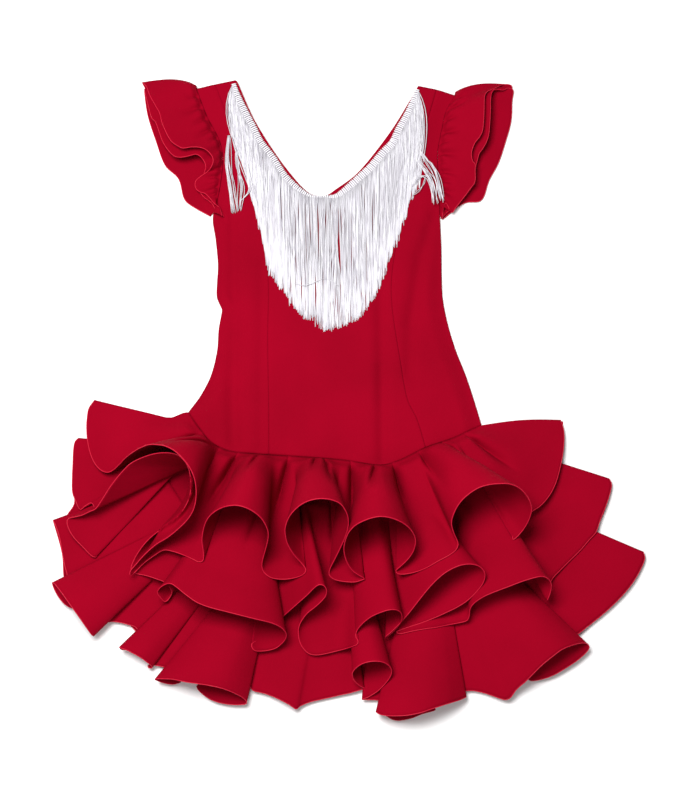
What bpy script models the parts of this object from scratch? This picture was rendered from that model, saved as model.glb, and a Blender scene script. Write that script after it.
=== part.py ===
"""Red flamenco dress for a small child, laid flat on its back with its front up.

Lengths are millimetres on the real dress until a mesh is made. +X is right, +Y runs from the
hem to the shoulders and +Z is up from the floor. Every piece of cloth is a middle surface,
worked out from the tables below, that Solidify turns into a wall.
"""

from collections import namedtuple
from math import exp

import bmesh
import bpy
from mathutils import Vector
from mathutils.bvhtree import BVHTree

MM = 0.001
WALL = 1.2
SEAM_GAP = 0.3
LAYER = WALL + SEAM_GAP
CENTRE_X = -0.51
CENTRE_Y = -16.33

# Middle of each layer above the floor, from the back ruffles up to the front of the underskirt.
FLOOR_LAYER = WALL / 2
RUFFLE_2_BACK_Z = FLOOR_LAYER + LAYER
RUFFLE_3_BACK_Z = FLOOR_LAYER + 2 * LAYER
BASE_BACK_Z = FLOOR_LAYER + 3 * LAYER
BASE_FRONT_Z = FLOOR_LAYER + 4 * LAYER
SEAM_Z = FLOOR_LAYER + 5 * LAYER

# The front of the bodice lies on the back at its sides and rises to the hip seam.
FRONT_EDGE_Z = FLOOR_LAYER + LAYER
ARMHOLE_Z = 4.8
FRONT_PUFF_Z = 6.6
EDGE_RISE = 24.0
UNDERARM_Y = 228.0
ARMHOLE_RISE = 30.0
HIP_RISE_TOP = 25.0
HIP_RISE_BOTTOM = -25.0
RUFFLE_START = 1.1
PANEL_INSET = 0.15
SLEEVE_START = 1.35
THIRD = 1.0 / 3.0
PANEL_COLUMNS = 24
PANEL_ROWS = 14
BACK_COLUMNS = 20
BACK_FADE = 4
SIDE_COLUMNS = 7
BASE_INSET = 30.0
BASE_TOP_DROP = 3.0
BASE_HEM_DROP = 8.0
BASE_COLUMNS = 12
BASE_ROWS = 4
RUFFLE_ROWS = 4
BACK_ROWS = 3
STEPS = 2
# Steps between two rows of a table, on the smooth curve that runs through them.
SEAM_STEPS = 6
CUT_STEPS = 4
EDGE_STEPS = 3
# How far a ruffle stays above the one it lies on, which is looked for from above both.
CLEAR = WALL + 2.0
STEEPEST = 0.3
SKY = 500.0
# The crest of a flute bows up by this much, more so on the higher ruffles.
BELLY_1 = 6.0
BELLY_2 = 5.0
BELLY_3 = 3.0
HIGH_FLUTE = 90.0
OUTER_FOLD_EASE = 0.7
INNER_FOLD_EASE = -0.3
HEM_SHARE = 0.58
HEM_ROWS = 5

CREASE_DEPTH = 1.3
CREASE_WIDTH = 7.0

BRAID_THICK = 1.6
BRAID_LIFT = 0.8
STRANDS = 96
STRAND_WIDTH = 1.1
STRAND_TIP_WIDTH = 0.8
STRAND_STEPS = 3
TIP_UNEVEN = 5.0
TIP_CYCLE = 17
TIP_STRIDE = 37
BRAID_REACH = 8.0

Point = namedtuple("Point", "x y")
# A fold of a ruffle: where it starts on its seam, and three points of its hem.
Fold = namedtuple("Fold", "name root lx ly lz x y z rx ry rz")
# A point of a sleeve hem: how far up the armhole it starts (0 underarm, 1 shoulder).
Wave = namedtuple("Wave", "side root x y z")
Crease = namedtuple("Crease", "x0 y0 x1 y1 depth")
Braid = namedtuple("Braid", "x y width")
Tassel = namedtuple("Tassel", "root_x tip_x tip_y")

HIP_SEAM = [
    Point(-190, -17),
    Point(-176, -38),
    Point(-161, -56),
    Point(-139, -66),
    Point(-101, -70),
    Point(-56, -73),
    Point(-3, -77),
    Point(38, -83),
    Point(62, -77),
    Point(92, -62),
    Point(128, -49),
    Point(160, -33),
]
SEAM_2 = [
    Point(-203, -61),
    Point(-168, -99),
    Point(-115, -129),
    Point(-56, -143),
    Point(-9, -147),
    Point(50, -140),
    Point(109, -118),
    Point(172, -72),
]
SEAM_3 = [
    Point(-214, -99),
    Point(-179, -147),
    Point(-126, -183),
    Point(-67, -204),
    Point(-9, -210),
    Point(55, -200),
    Point(120, -171),
    Point(186, -116),
]

RUFFLE_1 = [
    Fold("wing_left", -190, -303, -2, 2.1, -309, -41, 9, -302, -75, 12),
    Fold("dip_left", -173, -293, -88, 15, -283, -93, 17, -267, -86, 26),
    Fold("flute_a", -156, -247, -77, 58, -200, -85, 92, -173, -127, 86),
    Fold("dip_ab", -137, -200, -187, 40, -190, -198, 38, -173, -204, 36),
    Fold("flute_b", -119, -164, -171, 68, -125, -152, 100, -91, -177, 76),
    Fold("dip_bc", -85, -95, -204, 40, -72, -224, 34, -50, -211, 38),
    Fold("flute_c", -47, -69, -178, 72, -33, -144, 105, -6, -168, 82),
    Fold("dip_cd", -14, -19, -216, 38, -3, -226, 34, 14, -219, 36),
    Fold("flute_d", 27, 5, -190, 68, 37, -163, 98, 75, -185, 72),
    Fold("dip_de", 74, 61, -214, 36, 90, -212, 42, 122, -191, 52),
    Fold("flute_e", 110, 121, -162, 70, 169, -124, 92, 209, -152, 66),
    Fold("dip_right", 137, 205, -167, 40, 200, -172, 28, 215, -147, 20),
    Fold("wing_right", 160, 237, -118, 14, 253, -77, 10, 257, -28, 2.1),
]
RUFFLE_2 = [
    Fold("wing_left", -203, -319, -49, 3.6, -324, -92, 7, -314, -133, 9),
    Fold("dip_left", -186, -307, -139, 10, -299, -139, 11, -290, -133, 16),
    Fold("flute_a", -167, -275, -117, 32, -230, -90, 60, -193, -121, 66),
    Fold("dip_ab", -146, -226, -182, 40, -251, -217, 24, -229, -225, 24),
    Fold("flute_b", -112, -204, -234, 38, -138, -263, 58, -73, -288, 42),
    Fold("dip_bc", -82, -74, -298, 27, -75, -303, 17, -65, -290, 20),
    Fold("flute_c", -44, -54, -251, 46, -33, -235, 62, -31, -248, 50),
    Fold("dip_cd", -12, -50, -290, 24, -28, -309, 16, 5, -301, 22),
    Fold("flute_d", 22, 11, -284, 36, 30, -269, 56, 50, -267, 58),
    Fold("dip_de", 50, 50, -279, 38, 50, -287, 26, 63, -271, 38),
    Fold("flute_e", 85, 91, -237, 54, 129, -213, 64, 154, -227, 56),
    Fold("dip_ef", 109, 128, -254, 34, 112, -272, 18, 135, -270, 18),
    Fold("flute_f", 135, 142, -257, 34, 204, -227, 60, 232, -234, 46),
    Fold("dip_right", 155, 232, -243, 24, 231, -243, 15, 242, -220, 11),
    Fold("wing_right", 172, 268, -191, 9, 300, -142, 8, 310, -101, 3.6),
]
RUFFLE_3 = [
    Fold("wing_left", -214, -346, -149, 5.1, -334, -188, 6, -329, -212, 7),
    Fold("dip_left", -195, -328, -217, 6.5, -329, -222, 6.5, -334, -225, 10),
    Fold("flap_a", -167, -341, -227, 18, -316, -254, 32, -294, -284, 18),
    Fold("dip_ab", -147, -289, -285, 8, -278, -280, 7, -267, -279, 8),
    Fold("flap_b", -130, -260, -290, 16, -243, -303, 20, -228, -316, 12),
    Fold("dip_bc", -112, -222, -319, 7, -216, -320, 6.5, -214, -325, 9),
    Fold("flap_c", -85, -218, -335, 18, -167, -342, 40, -119, -358, 20),
    Fold("dip_cd", -56, -113, -354, 8, -106, -350, 7, -92, -353, 7),
    Fold("flap_d", -34, -74, -360, 8, -59, -369, 12, -42, -361, 8),
    Fold("dip_de", -12, -16, -354, 6.5, -2, -352, 6.5, 6, -350, 10),
    Fold("cone_e", 12, 0, -336, 26, 20, -321, 46, 36, -330, 27),
    Fold("dip_ef", 40, 30, -343, 13, 25, -350, 7.5, 30, -357, 7.5),
    Fold("flap_f", 86, 42, -371, 15, 84, -372, 32, 132, -357, 16),
    Fold("dip_fg", 110, 136, -351, 8, 150, -350, 7, 166, -355, 7),
    Fold("flap_g", 126, 182, -359, 9, 193, -351, 12, 203, -340, 18),
    Fold("flap_h", 150, 213, -332, 28, 237, -310, 38, 273, -298, 20),
    Fold("dip_right", 168, 272, -288, 9, 276, -280, 7, 286, -270, 6.5),
    Fold("wing_right", 186, 302, -254, 6, 335, -219, 6, 347, -188, 5.1),
]

BACK_HEM_1 = [
    Point(-303, -2),
    Point(-309, -39),
    Point(-296, -81),
    Point(-233, -148),
    Point(-149, -190),
    Point(-9, -208),
    Point(108, -186),
    Point(192, -160),
    Point(233, -119),
    Point(253, -75),
    Point(257, -28),
]
BACK_HEM_2 = [
    Point(-319, -49),
    Point(-325, -91),
    Point(-322, -128),
    Point(-331, -148),
    Point(-298, -192),
    Point(-230, -231),
    Point(-125, -266),
    Point(-9, -287),
    Point(107, -276),
    Point(201, -241),
    Point(266, -195),
    Point(301, -141),
    Point(310, -101),
]
BACK_HEM_3 = [
    Point(-346, -149),
    Point(-334, -188),
    Point(-328, -226),
    Point(-299, -257),
    Point(-228, -307),
    Point(-135, -350),
    Point(-55, -359),
    Point(26, -347),
    Point(54, -378),
    Point(106, -368),
    Point(140, -351),
    Point(198, -342),
    Point(244, -329),
    Point(283, -273),
    Point(335, -218),
    Point(347, -188),
]

SIDE_LEFT = [
    Point(-190, -17),
    Point(-176, 3),
    Point(-164, 28),
    Point(-157, 59),
    Point(-154, 95),
    Point(-156, 131),
    Point(-157, 166),
    Point(-159, 198),
    Point(-165, 230),
]
SIDE_RIGHT = [
    Point(160, -33),
    Point(150, 3),
    Point(141, 32),
    Point(131, 59),
    Point(122, 91),
    Point(116, 124),
    Point(115, 149),
    Point(115, 192),
    Point(114, 226),
]
ARMHOLE_LEFT = [
    Point(-165, 230),
    Point(-158, 259),
    Point(-154, 290),
    Point(-154, 312),
    Point(-158, 330),
    Point(-165, 345),
    Point(-173, 360),
    Point(-180, 378),
    Point(-188, 400),
]
ARMHOLE_RIGHT = [
    Point(114, 226),
    Point(113, 266),
    Point(112, 290),
    Point(112, 316),
    Point(118, 348),
    Point(123, 369),
    Point(135, 391),
]
PRINCESS_LEFT = [
    Point(-93, -70),
    Point(-94, -3),
    Point(-96, 72),
    Point(-96, 148),
    Point(-104, 213),
    Point(-128, 305),
    Point(-165, 405),
]
PRINCESS_RIGHT = [
    Point(93, -62),
    Point(83, -27),
    Point(72, -3),
    Point(64, 45),
    Point(55, 108),
    Point(54, 148),
    Point(61, 197),
    Point(82, 290),
    Point(112, 398),
]
NECK = [
    Point(-138, 411),
    Point(-117, 361),
    Point(-96, 324),
    Point(-70, 286),
    Point(-46, 260),
    Point(-27, 257),
    Point(-13, 266),
    Point(11, 285),
    Point(36, 316),
    Point(61, 353),
    Point(89, 403),
]

SLEEVE_LEFT_OUTER = [
    Wave("front", 0.03, -174, 246, 7),
    Wave("front", 0.12, -180, 260, 9),
    Wave("front", 0.22, -184, 270, 12),
    Wave("front", 0.32, -173, 284, 16),
    Wave("front", 0.42, -165, 299, 18),
    Wave("front", 0.50, -176, 316, 16),
    Wave("front", 0.58, -194, 318, 13),
    Wave("front", 0.68, -211, 321, 16),
    Wave("front", 0.78, -224, 342, 17),
    Wave("front", 0.86, -235, 367, 14),
    Wave("front", 0.93, -245, 386, 12),
    Wave("front", 0.98, -252, 403, 7),
    Wave("fold", 1.0, -254, 407, 3.5),
    Wave("back", 0.97, -252, 401, 0.6),
    Wave("back", 0.80, -235, 346, 0.6),
    Wave("back", 0.55, -214, 306, 0.6),
    Wave("back", 0.30, -192, 273, 0.6),
    Wave("back", 0.04, -169, 236, 0.6),
]
SLEEVE_LEFT_INNER = [
    Wave("front", 0.03, -173, 240, 4.8),
    Wave("front", 0.12, -182, 252, 5.4),
    Wave("front", 0.24, -189, 269, 7),
    Wave("front", 0.36, -178, 290, 8),
    Wave("front", 0.48, -188, 309, 7),
    Wave("front", 0.60, -211, 310, 6),
    Wave("front", 0.70, -226, 322, 8),
    Wave("front", 0.80, -238, 343, 9),
    Wave("front", 0.92, -249, 375, 7),
    Wave("front", 0.98, -252, 398, 4.8),
    Wave("fold", 1.0, -253, 401, 3.45),
    Wave("back", 0.97, -253, 395, 2.1),
    Wave("back", 0.88, -248, 365, 2.1),
    Wave("back", 0.74, -237, 331, 2.1),
    Wave("back", 0.60, -225, 299, 2.1),
    Wave("back", 0.44, -208, 281, 2.1),
    Wave("back", 0.28, -200, 254, 2.1),
    Wave("back", 0.14, -187, 243, 2.1),
    Wave("back", 0.04, -168, 232, 2.1),
]
SLEEVE_RIGHT_OUTER = [
    Wave("front", 0.03, 123, 236, 7),
    Wave("front", 0.12, 132, 245, 9),
    Wave("front", 0.24, 147, 258, 13),
    Wave("front", 0.36, 157, 271, 16),
    Wave("front", 0.48, 157, 294, 13),
    Wave("front", 0.58, 154, 312, 13),
    Wave("front", 0.68, 165, 331, 17),
    Wave("front", 0.80, 172, 360, 17),
    Wave("front", 0.92, 178, 384, 12),
    Wave("front", 0.98, 198, 398, 7),
    Wave("fold", 1.0, 201, 401, 3.5),
    Wave("back", 0.97, 203, 394, 0.6),
    Wave("back", 0.80, 190, 346, 0.6),
    Wave("back", 0.55, 175, 306, 0.6),
    Wave("back", 0.30, 152, 267, 0.6),
    Wave("back", 0.04, 119, 233, 0.6),
]
SLEEVE_RIGHT_INNER = [
    Wave("front", 0.03, 123, 233, 4.8),
    Wave("front", 0.12, 134, 238, 5.4),
    Wave("front", 0.26, 147, 253, 7),
    Wave("front", 0.40, 162, 277, 8),
    Wave("front", 0.54, 163, 303, 6),
    Wave("front", 0.66, 171, 332, 8),
    Wave("front", 0.80, 180, 360, 9),
    Wave("front", 0.92, 184, 384, 7),
    Wave("front", 0.98, 203, 389, 4.8),
    Wave("fold", 1.0, 205, 393, 3.45),
    Wave("back", 0.97, 206, 386, 2.1),
    Wave("back", 0.86, 204, 358, 2.1),
    Wave("back", 0.74, 197, 332, 2.1),
    Wave("back", 0.60, 187, 302, 2.1),
    Wave("back", 0.48, 175, 279, 2.1),
    Wave("back", 0.34, 165, 253, 2.1),
    Wave("back", 0.18, 144, 249, 2.1),
    Wave("back", 0.04, 117, 228, 2.1),
]

CREASES = [
    Crease(-134, 210, -136, -50, 1.2),
    Crease(101, 196, 74, 90, 1.1),
    Crease(36, 130, 40, -75, 0.9),
    Crease(-150, 128, -112, 112, 0.7),
    Crease(-150, 104, -118, 98, 0.6),
]

# The lower edge of the braid and how much of its width shows: its foot is rolled over the neck.
BRAID_EDGE = [
    Braid(-143, 392, 8),
    Braid(-137, 362, 8),
    Braid(-110, 325, 8),
    Braid(-81, 282, 7.5),
    Braid(-68, 268, 7),
    Braid(-54, 257, 5),
    Braid(-42, 254, 3),
    Braid(-26, 253, 3),
    Braid(-13, 254, 6),
    Braid(-1, 260, 8.5),
    Braid(19, 277, 10.5),
    Braid(48, 309, 11.5),
    Braid(69, 341, 11),
    Braid(79, 363, 9.5),
    Braid(87, 385, 8),
]
FRINGE = [
    Tassel(-143, -152, 352),
    Tassel(-138, -147, 326),
    Tassel(-133, -142, 238),
    Tassel(-125, -132, 234),
    Tassel(-119, -122, 262),
    Tassel(-112, -114, 245),
    Tassel(-103, -105, 205),
    Tassel(-95, -97, 165),
    Tassel(-84, -86, 139),
    Tassel(-66, -67, 110),
    Tassel(-46, -46, 97),
    Tassel(-30, -30, 86),
    Tassel(-18, -18, 81),
    Tassel(-4, -3, 88),
    Tassel(14, 16, 102),
    Tassel(28, 31, 122),
    Tassel(40, 43, 150),
    Tassel(52, 55, 186),
    Tassel(62, 66, 222),
    Tassel(70, 77, 252),
    Tassel(78, 91, 266),
    Tassel(83, 103, 250),
    Tassel(87, 104, 350),
]

RED = (0.50, 0.004, 0.022, 1.0)
WHITE = (0.86, 0.84, 0.87, 1.0)
CLOTH_ROUGHNESS = 0.75


def clear_scene():
    for obj in list(bpy.data.objects):
        bpy.data.objects.remove(obj, do_unlink=True)


def smooth_step(value):
    value = max(0.0, min(1.0, value))
    return value * value * (3.0 - 2.0 * value)


def flat(points, height=0.0):
    return [Vector((p.x, p.y, height)) for p in points]


def through(points, steps):
    """A smooth curve through the points, with this many steps between each two."""
    out = []
    last = len(points) - 1
    for i in range(last):
        before = points[max(i - 1, 0)]
        start = points[i]
        end = points[i + 1]
        after = points[min(i + 2, last)]
        span = (end - start).length
        slope_in = (end - before) * (span / max((end - start).length + (start - before).length, 1e-6))
        slope_out = (after - start) * (span / max((after - end).length + (end - start).length, 1e-6))
        for k in range(steps):
            t = k / steps
            out.append(
                start * (2 * t**3 - 3 * t**2 + 1)
                + slope_in * (t**3 - 2 * t**2 + t)
                + end * (3 * t**2 - 2 * t**3)
                + slope_out * (t**3 - t**2)
            )
    out.append(points[last].copy())
    return out


def along(curve, fraction):
    """The point this far along a curve, by its length."""
    lengths = [0.0]
    for a, b in zip(curve, curve[1:]):
        lengths.append(lengths[-1] + (b - a).length)
    want = max(0.0, min(1.0, fraction)) * lengths[-1]
    for i in range(len(curve) - 1):
        if want <= lengths[i + 1] or i == len(curve) - 2:
            span = max(lengths[i + 1] - lengths[i], 1e-9)
            return curve[i].lerp(curve[i + 1], (want - lengths[i]) / span)
    return curve[-1].copy()


def at_x(curve, x):
    """The point of a curve, which runs from left to right, at this x."""
    for a, b in zip(curve, curve[1:]):
        if x <= b.x:
            span = max(b.x - a.x, 1e-9)
            return a.lerp(b, max(0.0, (x - a.x) / span))
    return curve[-1].copy()


def at_y(curve, y):
    """The x of a curve, which runs upwards, at this y."""
    for a, b in zip(curve, curve[1:]):
        if y <= b.y:
            span = max(b.y - a.y, 1e-9)
            return a.lerp(b, max(0.0, (y - a.y) / span)).x
    return curve[-1].x


def crease_depth(x, y):
    """How far the soft creases of the bodice sink at a place."""
    depth = 0.0
    for crease in CREASES:
        start = Vector((crease.x0, crease.y0))
        run = Vector((crease.x1, crease.y1)) - start
        reach = (Vector((x, y)) - start).dot(run) / run.length_squared
        near = start + run * max(0.0, min(1.0, reach))
        away = (Vector((x, y)) - near).length / CREASE_WIDTH
        depth += crease.depth * CREASE_DEPTH * exp(-away * away)
    return depth


def front_height(x, y):
    """Height of the middle of the front of the bodice."""
    left = at_y(EDGE_LEFT, y)
    right = at_y(EDGE_RIGHT, y)
    inside = max(0.0, min(x - left, right - x))
    rise = smooth_step(inside / EDGE_RISE)
    hip = smooth_step((HIP_RISE_TOP - y) / (HIP_RISE_TOP - HIP_RISE_BOTTOM))
    top = FRONT_PUFF_Z + (SEAM_Z - FRONT_PUFF_Z) * hip
    arm = smooth_step((y - UNDERARM_Y) / ARMHOLE_RISE)
    edge = FRONT_EDGE_Z + (ARMHOLE_Z - FRONT_EDGE_Z) * arm
    return edge + (top - edge) * rise - crease_depth(x, y) * rise


def back_height(x, y):
    """The back of the bodice lies flat on the floor."""
    return FLOOR_LAYER


def seam_height(curve, point, edge):
    """Height of a ruffle seam, which comes down onto the back at each side."""
    inside = min(point.x - curve[0].x, curve[-1].x - point.x)
    return edge + (SEAM_Z - edge) * smooth_step(inside / EDGE_RISE)


def collection(name):
    made = bpy.data.collections.new(name)
    bpy.context.scene.collection.children.link(made)
    return made


def material(name, colour):
    made = bpy.data.materials.new(name)
    made.use_nodes = True
    shader = made.node_tree.nodes["Principled BSDF"]
    shader.inputs["Base Color"].default_value = colour
    shader.inputs["Roughness"].default_value = CLOTH_ROUGHNESS
    made.diffuse_color = colour
    return made


def add_object(name, vertices, faces, colour):
    mesh = bpy.data.meshes.new(name)
    shift = Vector((CENTRE_X, CENTRE_Y, 0.0))
    mesh.from_pydata([(v + shift) * MM for v in vertices], [], faces)
    mesh.validate()
    mesh.materials.append(material(name, colour))
    obj = bpy.data.objects.new(name, mesh)
    DRESS.objects.link(obj)
    return obj


def grid_faces(rows, columns):
    faces = []
    for r in range(rows - 1):
        for c in range(columns - 1):
            a = r * columns + c
            faces.append((a, a + columns, a + columns + 1, a + 1))
    return faces


def cloth(name, grid):
    """A wall on both sides of a middle surface, which is rows of points from its seam to its hem."""
    rows = len(grid)
    columns = len(grid[0])
    vertices = [p for row in grid for p in row]
    obj = add_object(name, vertices, grid_faces(rows, columns), RED)
    wall = obj.modifiers.new("wall", "SOLIDIFY")
    wall.thickness = WALL * MM
    wall.offset = 0.0
    wall.use_even_offset = False
    return obj


def surface_tree(grids):
    """The surfaces that a ruffle is laid on, for finding their height at a place."""
    vertices = []
    faces = []
    for grid in grids:
        first = len(vertices)
        vertices += [p for row in grid for p in row]
        faces += [tuple(first + i for i in face) for face in grid_faces(len(grid), len(grid[0]))]
    return BVHTree.FromPolygons(vertices, faces)


def laid_on(grid, tree, first_row=1):
    """Lifts the points of a surface that would lie inside the layer beneath it."""
    for row in grid[first_row:]:
        for point in row:
            hit, normal, _, _ = tree.ray_cast(Vector((point.x, point.y, SKY)), Vector((0, 0, -1)))
            if hit is None:
                continue
            point.z = max(point.z, hit.z + CLEAR / max(abs(normal.z), STEEPEST))
    return grid


def fold_chain(folds):
    """The hem points of a ruffle in order, and where each one starts on the seam."""
    hem = []
    roots = []
    last = len(folds) - 1
    for i, fold in enumerate(folds):
        before = folds[max(i - 1, 0)].root
        after = folds[min(i + 1, last)].root
        hem.append(Vector((fold.lx, fold.ly, fold.lz)))
        hem.append(Vector((fold.x, fold.y, fold.z)))
        hem.append(Vector((fold.rx, fold.ry, fold.rz)))
        if i == 0:
            shares = (0.0, 0.25, 0.5)
        elif i == last:
            shares = (-0.5, -0.25, 0.0)
        else:
            shares = (-THIRD, 0.0, THIRD)
        for share in shares:
            near = after if share > 0 else before
            roots.append(fold.root + (near - fold.root) * abs(share))
    return hem, roots


def ruffle_front(folds, seam, edge, belly):
    """The front half of a ruffle: straight lines from its seam to a waved hem."""
    curve = through(flat(seam), SEAM_STEPS)
    hem, roots = fold_chain(folds)
    spread = [Vector((x, 0, 0)) for x in roots]
    hem = through(hem, STEPS)
    spread = through(spread, STEPS)
    grid = [[] for _ in range(RUFFLE_ROWS + 1)]
    for end, root in zip(hem, spread):
        start = at_x(curve, root.x)
        start.z = seam_height(curve, start, edge)
        start.y -= RUFFLE_START
        for r in range(RUFFLE_ROWS + 1):
            t = r / RUFFLE_ROWS
            point = start.lerp(end, t)
            high = min(1.0, max(0.0, (end.z - start.z) / HIGH_FLUTE))
            point.z += belly * high * t * (1.0 - t) * 4.0
            grid[r].append(point)
    return grid


def ruffle_back(hem, seam, height):
    """The back half of a ruffle, pressed flat under the rest."""
    curve = through(flat(seam, height), SEAM_STEPS)
    edge = through(flat(hem, height), STEPS)
    last = len(edge) - 1
    grid = [[] for _ in range(BACK_ROWS + 1)]
    for i, end in enumerate(edge):
        start = at_x(curve, curve[0].x + (curve[-1].x - curve[0].x) * i / last)
        start.y -= RUFFLE_START
        for r in range(BACK_ROWS + 1):
            grid[r].append(start.lerp(end, r / BACK_ROWS))
    return grid


def sleeve(waves, armhole, outward, front_z, back_z, ease):
    """A sleeve ruffle, folded over the shoulder so that it has a front and a back."""
    curve = through(flat(armhole), CUT_STEPS)
    reach = (front_z - back_z) / 2
    roots = []
    hem = []
    for wave in waves:
        root = along(curve, wave.root)
        root.x += outward * SLEEVE_START
        if wave.side == "front":
            root.z = front_z
        elif wave.side == "back":
            root.z = back_z
        else:
            root.z = (front_z + back_z) / 2
            root.y += reach * (1.0 + ease)
        roots.append(root)
        hem.append(Vector((wave.x, wave.y, wave.z)))
    roots = through(roots, STEPS)
    hem = through(hem, STEPS)
    for point in roots + hem:
        point.z = max(point.z, back_z)
    grid = []
    for r in range(BACK_ROWS + 1):
        grid.append([a.lerp(b, r / BACK_ROWS) for a, b in zip(roots, hem)])
    return grid


def panel_share(row, rows):
    """How far up a panel a row is: the rows lie closer beside the armhole and the neck."""
    if row <= HEM_ROWS:
        return HEM_SHARE * row / HEM_ROWS
    return HEM_SHARE + (1.0 - HEM_SHARE) * (row - HEM_ROWS) / (rows - HEM_ROWS)


def patch(bottom, top, left, right, columns, rows, height, fade=1):
    """A panel between four edges, all run left to right or upwards.

    The bow of its sides dies out across it, the faster the higher fade is.
    """
    grid = []
    for r in range(rows + 1):
        v = panel_share(r, rows)
        row = []
        for c in range(columns + 1):
            u = c / columns
            low = at_x(bottom, bottom[0].x + (bottom[-1].x - bottom[0].x) * u)
            high = at_x(top, top[0].x + (top[-1].x - top[0].x) * u)
            left_bow = along(left, v) - bottom[0].lerp(top[0], v)
            right_bow = along(right, v) - bottom[-1].lerp(top[-1], v)
            point = low.lerp(high, v) + left_bow * (1.0 - u) ** fade + right_bow * u**fade
            point.z = height(point.x, point.y)
            row.append(point)
        grid.append(row)
    return grid


def moved(curve, dx, dy):
    return [Vector((p.x + dx, p.y + dy, p.z)) for p in curve]


def between(curve, start_x, end_x):
    """The part of a left-to-right curve between two x."""
    inside = [p.copy() for p in curve if start_x < p.x < end_x]
    return [at_x(curve, start_x)] + inside + [at_x(curve, end_x)]


def bodice():
    hip = moved(through(flat(HIP_SEAM), CUT_STEPS), 0, SEAM_GAP)
    left_cut = through(flat(PRINCESS_LEFT), CUT_STEPS)
    right_cut = through(flat(PRINCESS_RIGHT), CUT_STEPS)
    neck = through(flat(NECK), EDGE_STEPS)
    left_strap = left_cut[-1]
    right_strap = right_cut[-1]

    bottom = between(hip, left_cut[0].x, right_cut[0].x)
    top = [left_strap] + neck + [right_strap]
    grid = patch(
        bottom,
        top,
        moved(left_cut, PANEL_INSET, 0),
        moved(right_cut, -PANEL_INSET, 0),
        PANEL_COLUMNS,
        PANEL_ROWS,
        front_height,
    )
    cloth("bodice_front_centre", grid)

    edge = moved(EDGE_LEFT, PANEL_INSET, 0)
    bottom = between(hip, edge[0].x, left_cut[0].x - PANEL_INSET)
    top = [edge[-1], moved([left_strap], -PANEL_INSET, 0)[0]]
    grid = patch(bottom, top, edge, moved(left_cut, -PANEL_INSET, 0), SIDE_COLUMNS, PANEL_ROWS, front_height)
    cloth("bodice_front_side_left", grid)

    edge = moved(EDGE_RIGHT, -PANEL_INSET, 0)
    bottom = between(hip, right_cut[0].x + PANEL_INSET, edge[0].x)
    top = [moved([right_strap], PANEL_INSET, 0)[0], edge[-1]]
    grid = patch(bottom, top, moved(right_cut, PANEL_INSET, 0), edge, SIDE_COLUMNS, PANEL_ROWS, front_height)
    cloth("bodice_front_side_right", grid)

    top = [EDGE_LEFT[-1]] + neck + [EDGE_RIGHT[-1]]
    left_edge = moved(EDGE_LEFT, PANEL_INSET, 0)
    right_edge = moved(EDGE_RIGHT, -PANEL_INSET, 0)
    grid = patch(hip, top, left_edge, right_edge, BACK_COLUMNS, PANEL_ROWS, back_height, BACK_FADE)
    cloth("bodice_back", grid)


def skirt_base(name, height):
    """One half of the underskirt: from the hip seam down to just below the lowest ruffle seam."""
    hip = through(flat(HIP_SEAM, height), CUT_STEPS)
    low = through(flat(SEAM_3, height), CUT_STEPS)
    top = moved(between(hip, hip[0].x + BASE_INSET, hip[-1].x - BASE_INSET), 0, -BASE_TOP_DROP)
    hem = moved(between(low, low[0].x + BASE_INSET, low[-1].x - BASE_INSET), 0, -BASE_HEM_DROP)
    grid = []
    for r in range(BASE_ROWS + 1):
        row = []
        for c in range(BASE_COLUMNS + 1):
            share = c / BASE_COLUMNS
            row.append(along(top, share).lerp(along(hem, share), r / BASE_ROWS))
        grid.append(row)
    cloth(name, grid)
    return grid


def ruffles():
    base_back = skirt_base("skirt_base_back", BASE_BACK_Z)
    base_front = skirt_base("skirt_base_front", BASE_FRONT_Z)
    back_1 = ruffle_back(BACK_HEM_1, HIP_SEAM, FLOOR_LAYER)
    back_2 = ruffle_back(BACK_HEM_2, SEAM_2, RUFFLE_2_BACK_Z)
    back_3 = ruffle_back(BACK_HEM_3, SEAM_3, RUFFLE_3_BACK_Z)
    front_3 = ruffle_front(RUFFLE_3, SEAM_3, RUFFLE_3_BACK_Z + LAYER, BELLY_3)
    front_2 = ruffle_front(RUFFLE_2, SEAM_2, RUFFLE_2_BACK_Z + LAYER, BELLY_2)
    front_1 = ruffle_front(RUFFLE_1, HIP_SEAM, FLOOR_LAYER + LAYER, BELLY_1)
    under = [base_front, base_back, back_3]
    laid_on(front_3, surface_tree(under))
    laid_on(front_2, surface_tree(under + [front_3]))
    laid_on(front_1, surface_tree(under + [front_3, front_2]))
    cloth("ruffle_1_back", back_1)
    cloth("ruffle_2_back", back_2)
    cloth("ruffle_3_back", back_3)
    cloth("ruffle_3_front", front_3)
    cloth("ruffle_2_front", front_2)
    cloth("ruffle_1_front", front_1)


def sleeves():
    outer = ARMHOLE_Z + LAYER
    for side, outward, armhole, outer_waves, inner_waves in (
        ("left", -1, ARMHOLE_LEFT, SLEEVE_LEFT_OUTER, SLEEVE_LEFT_INNER),
        ("right", 1, ARMHOLE_RIGHT, SLEEVE_RIGHT_OUTER, SLEEVE_RIGHT_INNER),
    ):
        inner = sleeve(inner_waves, armhole, outward, ARMHOLE_Z, RUFFLE_2_BACK_Z, INNER_FOLD_EASE)
        cloth(f"sleeve_{side}_inner", inner)
        grid = sleeve(outer_waves, armhole, outward, outer, FLOOR_LAYER, OUTER_FOLD_EASE)
        cloth(f"sleeve_{side}_outer", grid)


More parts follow.
